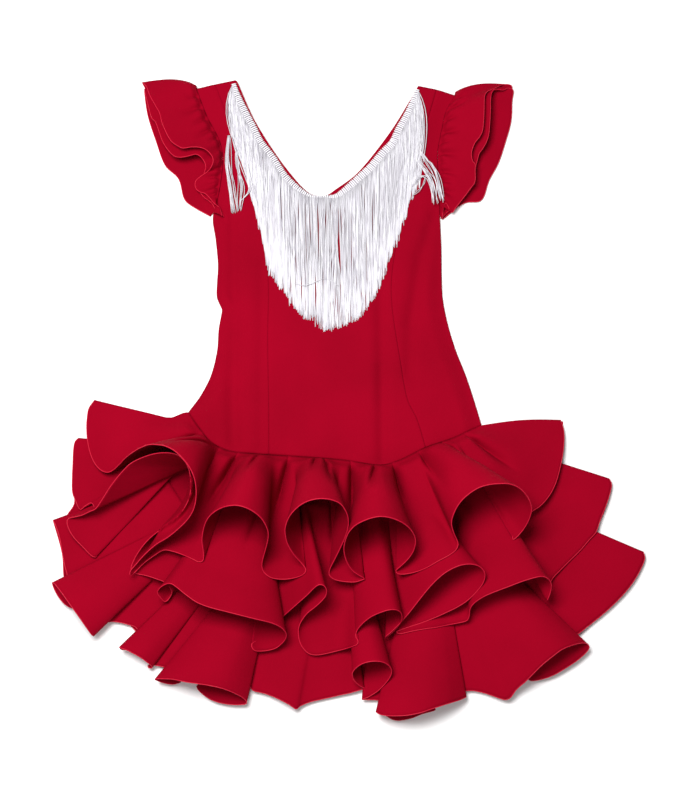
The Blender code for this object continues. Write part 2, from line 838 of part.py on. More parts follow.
def fringe_tip(x):
    """Where the strand rooted at this x ends."""
    for a, b in zip(FRINGE, FRINGE[1:]):
        if x <= b.root_x:
            t = max(0.0, (x - a.root_x) / (b.root_x - a.root_x))
            return a.tip_x + (b.tip_x - a.tip_x) * t, a.tip_y + (b.tip_y - a.tip_y) * t
    return FRINGE[-1].tip_x, FRINGE[-1].tip_y


def uneven(index, spread):
    """A repeatable offset of up to this much either way."""
    return ((index * TIP_STRIDE) % TIP_CYCLE / (TIP_CYCLE - 1) * 2.0 - 1.0) * spread


def neck_fringe():
    """The braid along the neck with its strands, which grow out of its lower edge."""
    edge = through([Vector(row) for row in BRAID_EDGE], EDGE_STEPS)
    first = edge[0].x + STRAND_WIDTH
    pitch = (edge[-1].x - edge[0].x - 2 * STRAND_WIDTH) / (STRANDS - 1)
    stations = [edge[0].x]
    for i in range(STRANDS):
        stations += [first + i * pitch - STRAND_WIDTH / 2, first + i * pitch + STRAND_WIDTH / 2]
    stations.append(edge[-1].x)
    lower = [at_x(edge, x) for x in stations]
    upper = []
    for i, point in enumerate(lower):
        ahead = at_x(edge, point.x + BRAID_REACH)
        behind = at_x(edge, point.x - BRAID_REACH)
        run = (ahead - behind).xy.normalized()
        upper.append(point + Vector((-run.y, run.x, 0)) * point.z)
    rest = WALL / 2 + BRAID_LIFT
    vertices = []
    for low, high in zip(lower, upper):
        low_z = front_height(low.x, low.y) + rest
        high_z = front_height(high.x, high.y) + rest
        vertices.append(Vector((low.x, low.y, low_z)))
        vertices.append(Vector((low.x, low.y, low_z + BRAID_THICK)))
        vertices.append(Vector((high.x, high.y, high_z)))
        vertices.append(Vector((high.x, high.y, high_z + BRAID_THICK)))
    faces = []
    last = len(lower) - 1
    for i in range(last):
        a = 4 * i
        b = a + 4
        faces.append((a, a + 2, b + 2, b))
        faces.append((a + 1, b + 1, b + 3, a + 3))
        faces.append((a + 2, a + 3, b + 3, b + 2))
        if i % 2 == 0:
            faces.append((a, b, b + 1, a + 1))
            continue
        middle = (lower[i] + lower[i + 1]) / 2
        tip_x, tip_y = fringe_tip(middle.x)
        tip = Vector((tip_x, tip_y + uneven(i, TIP_UNEVEN), 0))
        ring = [a, b, b + 1, a + 1]
        for k in range(1, STRAND_STEPS + 1):
            t = k / STRAND_STEPS
            centre = middle.lerp(tip, t)
            half = (STRAND_WIDTH + (STRAND_TIP_WIDTH - STRAND_WIDTH) * t) / 2
            low = front_height(centre.x, centre.y) + rest
            new = len(vertices)
            vertices.append(Vector((centre.x - half, centre.y, low)))
            vertices.append(Vector((centre.x + half, centre.y, low)))
            vertices.append(Vector((centre.x + half, centre.y, low + 2 * half)))
            vertices.append(Vector((centre.x - half, centre.y, low + 2 * half)))
            next_ring = [new, new + 1, new + 2, new + 3]
            for s in range(4):
                e = (s + 1) % 4
                faces.append((ring[s], ring[e], next_ring[e], next_ring[s]))
            ring = next_ring
        faces.append(tuple(ring))
    faces.append((0, 1, 3, 2))
    end = 4 * last
    faces.append((end, end + 2, end + 3, end + 1))
    add_object("neck_fringe", vertices, faces, WHITE)


def face_outwards():
    for obj in DRESS.objects:
        mesh = bmesh.new()
        mesh.from_mesh(obj.data)
        bmesh.ops.recalc_face_normals(mesh, faces=mesh.faces)
        mesh.to_mesh(obj.data)
        mesh.free()


clear_scene()
DRESS = collection("flamenco_dress")
EDGE_LEFT = through(flat(SIDE_LEFT + ARMHOLE_LEFT[1:]), EDGE_STEPS)
EDGE_RIGHT = through(flat(SIDE_RIGHT + ARMHOLE_RIGHT[1:]), EDGE_STEPS)
bodice()
ruffles()
sleeves()
neck_fringe()
face_outwards()
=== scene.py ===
"""Looks of a small child's red flamenco dress, laid flat on its back with its front up.

Lengths are millimetres on the real dress until a mesh is made. +X is right, +Y runs from the
hem to the shoulders and +Z is up from the floor. Each piece of cloth is a grid of points, worked
out from tables of its edges and folds, that Solidify turns into a wall.
"""

from collections import namedtuple
from math import cos, pi, radians, sin

import bpy
import numpy as np
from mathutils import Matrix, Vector, noise
from mathutils.bvhtree import BVHTree


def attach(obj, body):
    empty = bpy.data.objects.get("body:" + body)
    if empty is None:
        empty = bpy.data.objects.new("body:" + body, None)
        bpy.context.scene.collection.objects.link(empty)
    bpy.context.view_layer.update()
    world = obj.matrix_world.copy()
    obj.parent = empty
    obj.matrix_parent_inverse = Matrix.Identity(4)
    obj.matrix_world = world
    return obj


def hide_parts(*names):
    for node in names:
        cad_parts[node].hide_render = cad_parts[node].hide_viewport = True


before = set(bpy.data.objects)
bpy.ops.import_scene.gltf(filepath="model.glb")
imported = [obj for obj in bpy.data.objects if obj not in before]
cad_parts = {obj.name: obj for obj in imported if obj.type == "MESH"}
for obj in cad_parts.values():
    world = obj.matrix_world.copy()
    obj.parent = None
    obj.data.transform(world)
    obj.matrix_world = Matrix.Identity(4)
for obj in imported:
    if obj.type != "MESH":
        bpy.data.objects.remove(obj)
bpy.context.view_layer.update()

MM = 0.001
WALL = 1.2
CLOTH = 0.8
SEAM_GAP = 0.3
LAYER = WALL + SEAM_GAP
CENTRE_X = -0.51
CENTRE_Y = -16.33

# Heights of the layers over the floor, each at the middle of its cloth.
FLOOR_LAYER = WALL / 2
RUFFLE_2_BACK_Z = FLOOR_LAYER + LAYER
RUFFLE_3_BACK_Z = FLOOR_LAYER + 2 * LAYER
BASE_BACK_Z = FLOOR_LAYER + 3 * LAYER
BASE_FRONT_Z = FLOOR_LAYER + 4 * LAYER
SEAM_Z = FLOOR_LAYER + 5 * LAYER
FRONT_EDGE_Z = FLOOR_LAYER + LAYER
ARMHOLE_Z = 4.8
FRONT_PUFF_Z = 6.6

# The bodice rises from its side edges, and again to the hip seam. Its seams are sunk a little.
EDGE_RISE = 24.0
UNDERARM_Y = 228.0
ARMHOLE_RISE = 30.0
HIP_RISE_TOP = 25.0
HIP_RISE_BOTTOM = -25.0
CREASE_DEPTH = 2.0
PANEL_GAP = 0.02
PANEL_DIP = 0.32
SEAM_DIP = 0.6
SEAM_SOFT = 1.8
PANEL_ROWS = 200
CENTRE_COLUMNS = 120
SIDE_COLUMNS = 48
BACK_PANEL_ROWS = 120
BACK_PANEL_COLUMNS = 100
BACK_FADE = 4

BASE_INSET = 30.0
BASE_TOP_DROP = 3.0
BASE_HEM_DROP = 8.0
BASE_ROWS = 16
BASE_COLUMNS = 60

# How far a ruffle bellies out over its flutes and sags between them.
HIGH_FLUTE = 90.0
BELLY_1 = 10.0
BELLY_2 = 8.0
BELLY_3 = 5.0
SAG_1 = 8.0
SAG_2 = 6.0
SAG_3 = 3.0
RUFFLE_PITCH = 3.0
RUFFLE_ROWS = 45
BACK_PITCH = 4.0
BACK_ROWS = 13

# A ruffle's puff below its seam, and the valleys in it, which widen and fade as they run down.
PUFF_1 = 16.0
PUFF_2 = 8.0
PUFF_START = 15.0
PUFF_END = 45.0
PUFF_FADE = 75.0
VALLEY_WIDTH = 2.0
VALLEY_SPREAD = 0.065
VALLEY_FULL = 0.4
VALLEY_DEPTH = 1.25
VALLEY_SHARPNESS = 1.25
STEEP_SIDE = 1.35
SOFT_SIDE = 0.75

# The top ruffle's side edges: the left one sags near the seam, and the right one bows up.
WING_DROP = 10.0
WING_BOW = 3.0
WING_LOW = 0.22
WING_FRONT_COLUMNS = 26
WING_BACK_COLUMNS = 30

RIPPLE_SIZE = 45.0
RIPPLE_DEPTH = 1.2
RIPPLE_3_DEPTH = 1.0

# How a ruffle is laid on the layers beneath it.
CLEAR = 1.6
SKY = 500.0
STEEPEST = 0.4
SETTLE_PASSES = 24
SETTLE_SPREAD = 0.98

# The sleeve ruffles: the bow over the shoulder fold, and the gathers at the armhole.
SLEEVE_PITCH = 2.2
SLEEVE_ROWS = 31
FOLD_BOW = 6.5
FOLD_WIDTH = 14.0
FOLD_LEAN = 0.8
OUTER_FOLD_EASE = 0.7
INNER_FOLD_EASE = -0.3
GATHER_DEPTH = 2.3
GATHER_SPREAD = 0.06
GATHER_START = 3.0
SLEEVE_PUFF = 7.5
SLEEVE_PUFF_START = 9.0
DEEPEST = -1.5

# How much the crepe's grain adds to its uneven shades.
SPECK_SHARE = 0.28

HEM_RADIUS = 0.6
SLEEVE_HEM_RADIUS = 0.55
HEM_SIDES = 6

# The neck fringe. Strands lie in clumps, and a strand's tip strays up from the fringe's edge.
STRANDS = 900
CLUMP = 6
STRAND_RADIUS = 0.52
LOOSE_RADIUS = 0.42
STRAND_SIDES = 4
STRAND_POINTS = 12
STRAND_ROOT = 1.2
STRAND_LIFT = 0.5
TIP_STRAY = 4.5
LONGEST_STRAY = 18.0
BOW_PEAK = 27 / 4
LOOSE_LIFT = 0.6
SLEEVE_SIDE_X = 96.0
SLEEVE_TOP_Y = 300
ON_SLEEVE_LIFT = 7.0
RIB_PITCH = 2.6
RIB_RADIUS = 0.8
RIB_SIDES = 8
RIB_POINTS = 6
RIB_LIFT = 1.3
BAND_LIFT = 0.75
BAND_SHARES = (0.0, 0.3, 0.6, 0.88)

# Steps between two rows of a table, where a smooth curve runs through them.
CURVE_STEPS = 8
HEM_STEPS = 6
SLEEVE_STEPS = 10
BRAID_STEPS = 12
LOOSE_STEPS = 4

Point = namedtuple("Point", "x y")
Hem = namedtuple("Hem", "x y z root", defaults=(None,))
Wave = namedtuple("Wave", "side root x y z")
Pleat = namedtuple("Pleat", "x turn reach depth")
Gather = namedtuple("Gather", "at width reach depth")
Crease = namedtuple("Crease", "x0 y0 x1 y1 depth width")
Braid = namedtuple("Braid", "x y width bow tip_x tip_y")
Loose = namedtuple("Loose", "x0 y0 x1 y1 x2 y2 x3 y3 count spread")
Lamp = namedtuple("Lamp", "name place energy width")


def table(kind, *rows):
    return [kind(*row) for row in rows]


def waves(front, fold, back):
    """A sleeve ruffle's hem: down its front side, over the shoulder fold and down its back."""
    sides = (("front", front), ("fold", fold), ("back", back))
    return [Wave(side, *row) for side, rows in sides for row in rows]


# The seams that the ruffles hang from, from left to right.
HIP_SEAM = table(
    Point,
    (-190, -17), (-176, -38), (-161, -56), (-139, -66), (-101, -70), (-56, -73), (-3, -77),
    (38, -83), (62, -77), (92, -62), (128, -49), (160, -33),
)
SEAM_2 = table(
    Point,
    (-203, -61), (-168, -90), (-115, -113), (-56, -120), (-9, -123), (50, -119), (109, -96),
    (172, -52),
)
SEAM_3 = table(
    Point,
    (-214, -99), (-179, -147), (-126, -183), (-67, -204), (-9, -210), (55, -200), (120, -171),
    (186, -116),
)

# Each front hem from left to right. A row with a root names the x on the seam that it hangs from.
HEM_1 = table(
    Hem,
    (-302.2, -1.9, 2.1, -190), (-308.4, -12.5, 5), (-309.8, -25.6, 8), (-309.7, -38.3, 10),
    (-307.9, -53.5, 12), (-304.4, -68.3, 13), (-299.1, -80.7, 14), (-292.8, -88.8, 15),
    (-285.5, -93.5, 17, -176), (-279, -93.6, 19), (-270.5, -89.5, 26), (-259.6, -83.2, 40),
    (-248.9, -79.6, 55), (-238.3, -77.3, 69), (-227.9, -76.4, 80), (-217.9, -78.3, 88),
    (-208.2, -81.2, 94), (-198.5, -86.6, 98), (-189.9, -94.1, 100), (-179.9, -106.1, 98),
    (-173.9, -119, 93), (-172.3, -134.4, 85), (-175.3, -149.5, 76), (-182.6, -160.3, 68),
    (-193.7, -169.7, 60), (-206.4, -178.5, 53), (-220.5, -185.9, 47), (-234.7, -197.3, 41),
    (-244.1, -207.4, 37), (-250.4, -214.7, 34), (-250.9, -219, 32), (-246.6, -215.7, 29),
    (-235.5, -203.8, 28), (-222.9, -194.6, 29), (-212.5, -189, 30, -138), (-199.7, -191.5, 31),
    (-189.2, -195.7, 32), (-178.5, -201.2, 33), (-171, -204.7, 35), (-166.3, -202.9, 38),
    (-166, -193.9, 44), (-167.2, -182.6, 52), (-164.9, -170.4, 62), (-160.1, -161, 72),
    (-152.2, -154.8, 81), (-142, -151, 89), (-133, -150.1, 95), (-124.3, -150.5, 98),
    (-114.4, -153.3, 98), (-104.9, -158, 94), (-97.6, -163.7, 88), (-92.9, -170.4, 81),
    (-90.4, -177.6, 73), (-91.6, -185.9, 64), (-94.9, -195.4, 54), (-98.3, -206.1, 44),
    (-98.2, -212.6, 38), (-95.4, -217.1, 35), (-88, -221.9, 33), (-75.4, -223.5, 32, -72),
    (-61.7, -222.4, 33), (-50.5, -219.1, 35), (-47.9, -214.5, 38), (-52.8, -207.4, 44),
    (-61.4, -198.9, 53), (-68.6, -188.3, 63), (-71.4, -176.6, 74), (-70.2, -169.2, 81),
    (-65.8, -160.8, 89), (-58.3, -153.5, 96), (-48.4, -147.8, 102), (-37.4, -144.7, 104.5),
    (-27.7, -144, 104.5), (-16.6, -145.4, 102), (-8.1, -148.7, 97), (-2, -156, 90),
    (0.6, -164.3, 82), (-0.1, -172.8, 74), (-3.7, -182.2, 64), (-9.3, -192.8, 54),
    (-15.5, -203.7, 45), (-20.5, -212.6, 38), (-21.2, -219.1, 35), (-15.5, -223.7, 33),
    (-4.4, -226.1, 32, -2), (8.2, -226.9, 33), (15.3, -225.2, 35), (19.6, -223.7, 37),
    (13.5, -220.7, 41), (5.2, -215.6, 47), (-0.9, -207.6, 55), (-4, -198.8, 63),
    (-4.2, -191.9, 70), (-1.9, -183.9, 77), (1.5, -177.9, 83), (8.1, -172, 90), (18.1, -167.6, 96),
    (28.2, -164.9, 100), (37.1, -163.8, 101), (47.2, -164.7, 99), (58.4, -167.8, 94),
    (67.7, -172.5, 87), (73.9, -178.2, 79), (77, -184.8, 71), (76.4, -191.6, 63),
    (73.1, -198.4, 55), (66.7, -205.4, 48), (59.6, -211.1, 42), (55.1, -215, 38),
    (57.9, -217.8, 36), (64.9, -218.3, 36), (77.1, -216.6, 38, 64), (90.4, -212.7, 40),
    (102.7, -206.5, 43), (115, -200.3, 46), (123, -194.3, 50), (126.4, -187.8, 54),
    (124.8, -182.3, 58), (121, -175.2, 64), (118.2, -165.9, 71), (120, -157.3, 78),
    (125.3, -147.4, 85), (133.7, -138.7, 91), (147, -130.3, 96), (159.2, -126.7, 98),
    (171.5, -125.4, 98), (182.7, -125.3, 96), (194.2, -128.6, 91), (203.4, -135.7, 83),
    (208.9, -143.8, 74), (210.1, -151, 66), (207.1, -160.4, 56), (200.9, -169.7, 46),
    (191, -179.3, 36), (190.6, -173.7, 30), (198.2, -162.3, 26), (206.9, -151, 23),
    (215.5, -141.7, 21, 137), (225.8, -134.4, 19), (237.3, -120.8, 16), (245.1, -105.7, 14),
    (250.4, -88.6, 12), (254.8, -69.6, 10), (257.1, -50.4, 8), (256.9, -37.1, 5),
    (254.2, -26.4, 2.1, 160),
)
HEM_2 = table(
    Hem,
    (-319.6, -48.9, 3.6, -203), (-323.4, -53.9, 6), (-324.6, -64.2, 8), (-324.6, -82.3, 9),
    (-324.7, -100, 9), (-323.8, -115.9, 9), (-319.8, -126.3, 8), (-314.2, -136.9, 8),
    (-308.7, -132.4, 8), (-300.6, -128.8, 8), (-295.6, -143, 7, -192), (-293.8, -160.9, 7),
    (-292, -178.8, 7), (-292.5, -192.2, 9), (-296.4, -193.8, 11), (-308.4, -182.6, 14),
    (-320.5, -169.9, 16), (-326.8, -158.1, 18), (-326.8, -150.6, 20), (-318.7, -148.6, 23),
    (-309.8, -147.2, 26), (-299.1, -143.2, 30), (-292.9, -141.2, 33), (-283.3, -129.4, 40),
    (-275, -118.2, 47), (-263.7, -105.5, 54), (-250.9, -94.4, 61), (-235, -88.1, 68),
    (-219, -85.3, 74), (-203.2, -86.3, 79), (-192.2, -90.5, 81), (-182.8, -102, 80),
    (-179.2, -116.5, 75), (-179.4, -127.8, 69), (-183.4, -140, 61), (-191.8, -151.2, 53),
    (-203.7, -160.4, 46), (-217.9, -168.6, 40), (-231, -178, 34), (-241.6, -189.8, 28),
    (-248.7, -201.9, 24), (-250.9, -211, 22), (-245.4, -214.8, 22), (-233.4, -217.4, 22, -148),
    (-221.4, -221.3, 22), (-210.1, -226.2, 22), (-203.1, -236.3, 20), (-207.5, -245.6, 20),
    (-211.1, -247.7, 20), (-215, -244.2, 24), (-218.8, -238.8, 30), (-215.4, -234.4, 37),
    (-208, -231.2, 44), (-202.1, -231.2, 48), (-195, -235.8, 50), (-186.4, -242.9, 51),
    (-173, -252.6, 53), (-161.8, -257.8, 55), (-150.8, -261.3, 56), (-135.5, -265.3, 57),
    (-118.1, -269.7, 57), (-102.9, -273.1, 55), (-89, -275.8, 51), (-79.4, -279, 46),
    (-72.9, -283, 40), (-70.3, -287.1, 34), (-71, -291.2, 28), (-75.5, -295.9, 22),
    (-82.2, -300.7, 18), (-91, -303.1, 15), (-100, -304, 13), (-107.7, -303.3, 12),
    (-110.3, -296.4, 11), (-98.8, -288.4, 11, -88), (-87.3, -279.4, 13), (-77.4, -267.7, 20),
    (-68.6, -260.8, 28), (-58.1, -253.1, 38), (-46.5, -244.4, 48), (-38.4, -237.6, 56),
    (-32.7, -234.3, 60), (-27.6, -235.2, 60), (-24.3, -239.3, 56), (-24.8, -244.7, 50),
    (-29.4, -250, 44), (-37.5, -256.6, 38), (-45.5, -262.1, 33), (-51.3, -268.3, 28),
    (-55.4, -275.2, 24), (-56.8, -282.7, 20), (-55.4, -292.7, 17), (-51.4, -300.4, 15),
    (-44.7, -306.6, 14), (-36.4, -308.4, 14), (-26.1, -307, 14, -18), (-13.4, -304, 14),
    (-0.8, -301.4, 15), (10.6, -299.3, 17), (11.8, -295.1, 20), (9.4, -290.5, 25),
    (9.3, -286.5, 30), (11.7, -281.5, 36), (17.5, -275.6, 43), (26.6, -269.5, 50),
    (38.1, -265.2, 56), (47.3, -262.9, 58), (54.9, -262.6, 56), (60.6, -265, 48), (62, -270.4, 38),
    (58.8, -275.8, 28, 44), (53.2, -281.8, 22), (46.3, -287.2, 19), (42.4, -289.2, 20),
    (52.9, -280.7, 26), (68.5, -265, 36), (82.7, -248.1, 46), (95.6, -233.6, 54),
    (109.8, -221.4, 60), (124.1, -214, 63), (135.9, -211.3, 63), (146.5, -211.9, 60),
    (153.3, -215.4, 56), (156.8, -221.1, 51), (155.2, -229.3, 44), (148.9, -237.5, 38),
    (138.6, -247.2, 32), (126.9, -254.6, 28), (113.8, -260.7, 25), (100.6, -266.3, 22),
    (82.1, -273.2, 20), (67.6, -277.6, 18), (55.7, -282.4, 16), (60.3, -284.2, 14),
    (74.2, -281.7, 13), (88.1, -279.4, 13, 106), (100.8, -277.5, 13), (116.8, -273.7, 14),
    (132.7, -270.5, 15), (137.8, -268.9, 17), (140.1, -264.1, 21), (140.7, -257.2, 28),
    (144.9, -251.6, 35), (155, -245.5, 42), (167.8, -240.6, 48), (183.3, -235.4, 53),
    (198.8, -230.1, 57), (211.6, -226.5, 59), (221, -224.7, 58), (227.9, -226.4, 54),
    (232.5, -231.1, 47), (232.5, -238.9, 38), (229.1, -247.6, 30), (227.8, -242.5, 22),
    (230.8, -233.5, 17), (234.9, -224.8, 14), (239.4, -217.5, 12, 156), (244.2, -212.6, 11),
    (257.2, -199.6, 9), (272.2, -185, 8), (283.3, -172.3, 8), (290.8, -164.1, 8),
    (296.7, -148.5, 8), (304.6, -130.1, 8), (309.7, -115.3, 7), (311.7, -104.8, 5.5),
    (309, -98.2, 3.6, 172),
)
HEM_3 = table(
    Hem,
    (-346, -148.6, 5.1, -214), (-344.1, -151.8, 6), (-342.1, -155.8, 6.5), (-337.2, -170, 7),
    (-333.1, -189.1, 7), (-330, -202.9, 7), (-327.1, -212.5, 7), (-324.4, -223.6, 6.5, -198),
    (-319.3, -237.7, 6.5), (-317.5, -251.8, 7), (-320.4, -253, 8), (-328.9, -248, 9),
    (-336.8, -238.2, 10), (-341.5, -229.2, 12), (-342.7, -224.1, 15), (-339.6, -226.1, 18),
    (-329.7, -238, 25), (-318.5, -252.9, 31), (-307, -268.3, 30), (-297.6, -281.3, 24),
    (-292.7, -287, 17), (-291.5, -282.7, 12), (-290.4, -279.5, 10), (-287.5, -275.9, 9),
    (-284.5, -272.6, 8), (-276.3, -269, 7), (-266.5, -269.2, 7, -158), (-255.2, -271.8, 7),
    (-245.3, -275.3, 7), (-241.3, -281.9, 6.5), (-243.4, -292.4, 6.5), (-250, -299.4, 7),
    (-257.8, -301.9, 9), (-262.5, -300.6, 11), (-262.8, -299.2, 13), (-260.3, -300.6, 16),
    (-253.3, -303.3, 19), (-247.1, -306.6, 21), (-235.9, -312.7, 20), (-226.6, -319.6, 14),
    (-224.2, -321.9, 10), (-226.8, -322.8, 8), (-230.4, -321.3, 7.5), (-228.8, -318.7, 7),
    (-222.4, -319.2, 7, -120), (-212.6, -320.8, 7), (-206.8, -323.5, 6.5), (-202.1, -330.4, 6.5),
    (-196.2, -336.2, 7), (-191.5, -338.3, 7.5), (-196, -340.3, 8), (-202.9, -341.1, 8.5),
    (-213.1, -339.1, 9.5), (-218.2, -337.3, 11), (-221.5, -336.1, 13), (-218.2, -336, 17),
    (-213.1, -336.3, 21), (-198.5, -337.9, 29), (-184.3, -341.4, 34), (-170.3, -343.7, 37),
    (-156.1, -345.9, 38), (-142.5, -348.8, 36), (-132.6, -351.9, 31), (-124.9, -355, 25),
    (-118.8, -358.2, 19), (-115.2, -362, 14), (-116.3, -363.7, 11), (-119.1, -364.3, 10),
    (-131.2, -364.5, 9), (-144.4, -362.6, 8.5), (-156.5, -358.6, 8), (-167.7, -351, 7.5),
    (-173.4, -343.2, 7), (-166.2, -339.5, 6.5), (-146.7, -341.8, 6, -64), (-126, -341.8, 6),
    (-114.1, -342.2, 6.5), (-110.4, -345.9, 7), (-107.4, -348.8, 8), (-104, -349.4, 8),
    (-93, -352.3, 9), (-82, -356.8, 11), (-70.9, -362.5, 13), (-63.7, -366.7, 13),
    (-58.9, -370, 12), (-56.3, -367.5, 10), (-53.5, -365.3, 8.5), (-43.7, -361.3, 7.5),
    (-32.7, -358.5, 7), (-20.3, -355.8, 7, -14), (-8.2, -353.1, 7), (2.6, -350.8, 7),
    (10.6, -348.6, 7.5), (16.4, -346.9, 8), (19.8, -345.9, 9), (16.7, -344.7, 12),
    (12.9, -342.9, 15), (8.8, -339.7, 20), (6, -336, 25), (5.1, -331.6, 31), (8, -327.2, 37),
    (12.7, -323.9, 42), (18.3, -321.4, 45), (26.4, -319.8, 47), (33, -319.7, 47),
    (38.7, -320.2, 45), (44.4, -322.1, 41), (48.6, -325.5, 36), (50, -329.8, 30),
    (48.3, -334.7, 25), (44.2, -340, 20), (39.2, -345.2, 16), (33.5, -350, 13), (26.6, -354.2, 11),
    (20.9, -357, 10), (15.2, -358.3, 9), (20.9, -358.5, 8), (34.7, -359, 7),
    (65.6, -364.6, 6.5, 44), (94.2, -366.9, 6.5), (101, -369.8, 7), (85.2, -374.6, 7.5),
    (73.4, -379.3, 8), (58.3, -382.2, 8.5), (50.3, -380.8, 9), (42.6, -376.3, 9.5),
    (34.5, -373.6, 10.5), (32, -372.2, 13), (34.4, -375.2, 17), (42.2, -378, 23),
    (49.6, -378.8, 27), (59, -379.1, 31), (66.7, -378.8, 33), (81.7, -376.2, 35),
    (95.6, -371.5, 34), (113.4, -365.2, 28), (125.6, -360.8, 20), (132.8, -357.5, 14),
    (136, -355.2, 11), (134.4, -352.4, 9), (133.4, -349.4, 7.5), (141, -348, 7, 112),
    (152.7, -349.8, 7), (164.2, -353.4, 8), (175.7, -357.8, 9), (181.5, -358.9, 10),
    (186, -356.8, 12), (191.7, -349.1, 16), (196.7, -344.4, 19), (201.9, -340.4, 22),
    (209.7, -332.9, 27), (221, -322.1, 33), (232.5, -313.1, 36), (244.5, -304.4, 35),
    (257, -299, 30), (264.9, -296.5, 25), (270.7, -295.4, 20), (275.5, -295.6, 16),
    (278, -299, 13), (275.4, -304, 11), (264.8, -313.4, 10), (252.8, -321.4, 9.5),
    (234.9, -331.4, 9), (217.2, -336.6, 8.5), (208.2, -336.3, 8), (210.8, -329.3, 7),
    (227.4, -313.1, 6.5), (245.2, -295.8, 6.5, 160), (259.4, -286.6, 6.5), (266.2, -283.1, 6.5),
    (278.3, -273.9, 6.5), (292.6, -262.7, 6.5), (303.8, -253.2, 6.5), (320.4, -237.1, 6.5),
    (333.5, -220.9, 6.5), (343.2, -204.6, 6.5), (347.3, -193.6, 6), (345.9, -186.2, 5.1, 186),
)

# The hidden back halves' hems, which lie flat.
BACK_HEM_1 = table(
    Point,
    (-303, -2), (-309, -39), (-296, -81), (-233, -148), (-149, -190), (-9, -208), (108, -186),
    (192, -160), (233, -119), (253, -75), (257, -28),
)
BACK_HEM_2 = table(
    Point,
    (-319, -49), (-325, -91), (-322, -128), (-331, -148), (-298, -192), (-230, -231), (-125, -266),
    (-9, -287), (107, -276), (201, -241), (266, -195), (301, -141), (310, -101),
)
BACK_HEM_3 = table(
    Point,
    (-346, -149), (-334, -188), (-328, -226), (-306, -246), (-266, -260), (-240, -284),
    (-190, -322), (-150, -346), (-110, -336), (-55, -350), (26, -342), (60, -370), (106, -362),
    (140, -343), (198, -336), (236, -318), (264, -276), (300, -248), (335, -212), (347, -188),
)

# The valleys in a ruffle: where each starts on the seam, how it slants, its length and depth.
PLEATS_1 = table(
    Pleat,
    (-172, -0.95, 110, 0.9), (-150, -0.70, 100, 0.8), (-129, -0.46, 95, 1.0),
    (-103, -0.30, 60, 0.6), (-69, -0.22, 110, 1.0), (-37, -0.10, 60, 0.7), (-27, 0.10, 100, 1.0),
    (4, 0.02, 110, 1.0), (33, -0.12, 80, 0.9), (53, 0.22, 110, 1.0), (84, 0.34, 105, 0.9),
    (112, 0.52, 100, 0.9), (138, 0.80, 95, 0.8),
)
PLEATS_2 = table(
    Pleat,
    (-150, -0.8, 80, 0.8), (-96, -0.3, 90, 0.9), (-58, 0.0, 80, 1.0), (-20, 0.05, 70, 0.9),
    (18, 0.0, 80, 1.0), (66, 0.2, 80, 0.9), (112, 0.5, 80, 0.9), (146, 0.8, 70, 0.8),
)

# The gathers at an armhole: how far along it, in shares of its length, and their sizes.
GATHERS = table(
    Gather,
    (0.07, 2.4, 22, -2.8), (0.13, 2.2, 30, -3.3), (0.20, 2.8, 34, -3.0), (0.27, 2.6, 24, -3.3),
    (0.34, 2.4, 34, -2.8), (0.41, 2.2, 16, -2.4), (0.48, 3.0, 40, -3.4), (0.56, 2.2, 20, -2.6),
    (0.64, 2.6, 34, -3.2), (0.73, 2.4, 26, -2.8), (0.82, 3.0, 38, -2.8), (0.90, 2.6, 22, -2.2),
)

# The bodice's edges and cuts, from the hip upwards, and its neck from left to right.
SIDE_LEFT = table(
    Point,
    (-190, -17), (-176, 3), (-164, 28), (-157, 59), (-155.5, 86), (-152.6, 105), (-152, 112),
    (-155.2, 119), (-158.5, 128), (-158.4, 146), (-157.6, 166), (-158.8, 182), (-161.3, 203),
    (-165, 230),
)
SIDE_RIGHT = table(
    Point,
    (160, -33), (150, 3), (141, 32), (131, 59), (122, 91), (116, 124), (115, 149), (115, 192),
    (114, 226),
)
ARMHOLE_LEFT = table(
    Point,
    (-165, 230), (-158, 259), (-154, 290), (-154, 312), (-158, 330), (-165, 345), (-173, 360),
    (-180, 378), (-188, 400),
)
ARMHOLE_RIGHT = table(
    Point,
    (114, 226), (113, 266), (112, 290), (112, 316), (118, 348), (123, 369), (135, 391),
)
PRINCESS_LEFT = table(
    Point,
    (-93, -70), (-94, -3), (-96, 72), (-96, 148), (-104, 213), (-128, 305), (-165, 405),
)
PRINCESS_RIGHT = table(
    Point,
    (93, -62), (83, -27), (72, -3), (64, 45), (55, 108), (54, 148), (61, 197), (82, 290),
    (112, 398),
)
NECK = table(
    Point,
    (-138, 411), (-117, 361), (-96, 324), (-70, 286), (-46, 260), (-27, 257), (-13, 266),
    (11, 285), (36, 316), (61, 353), (89, 403),
)

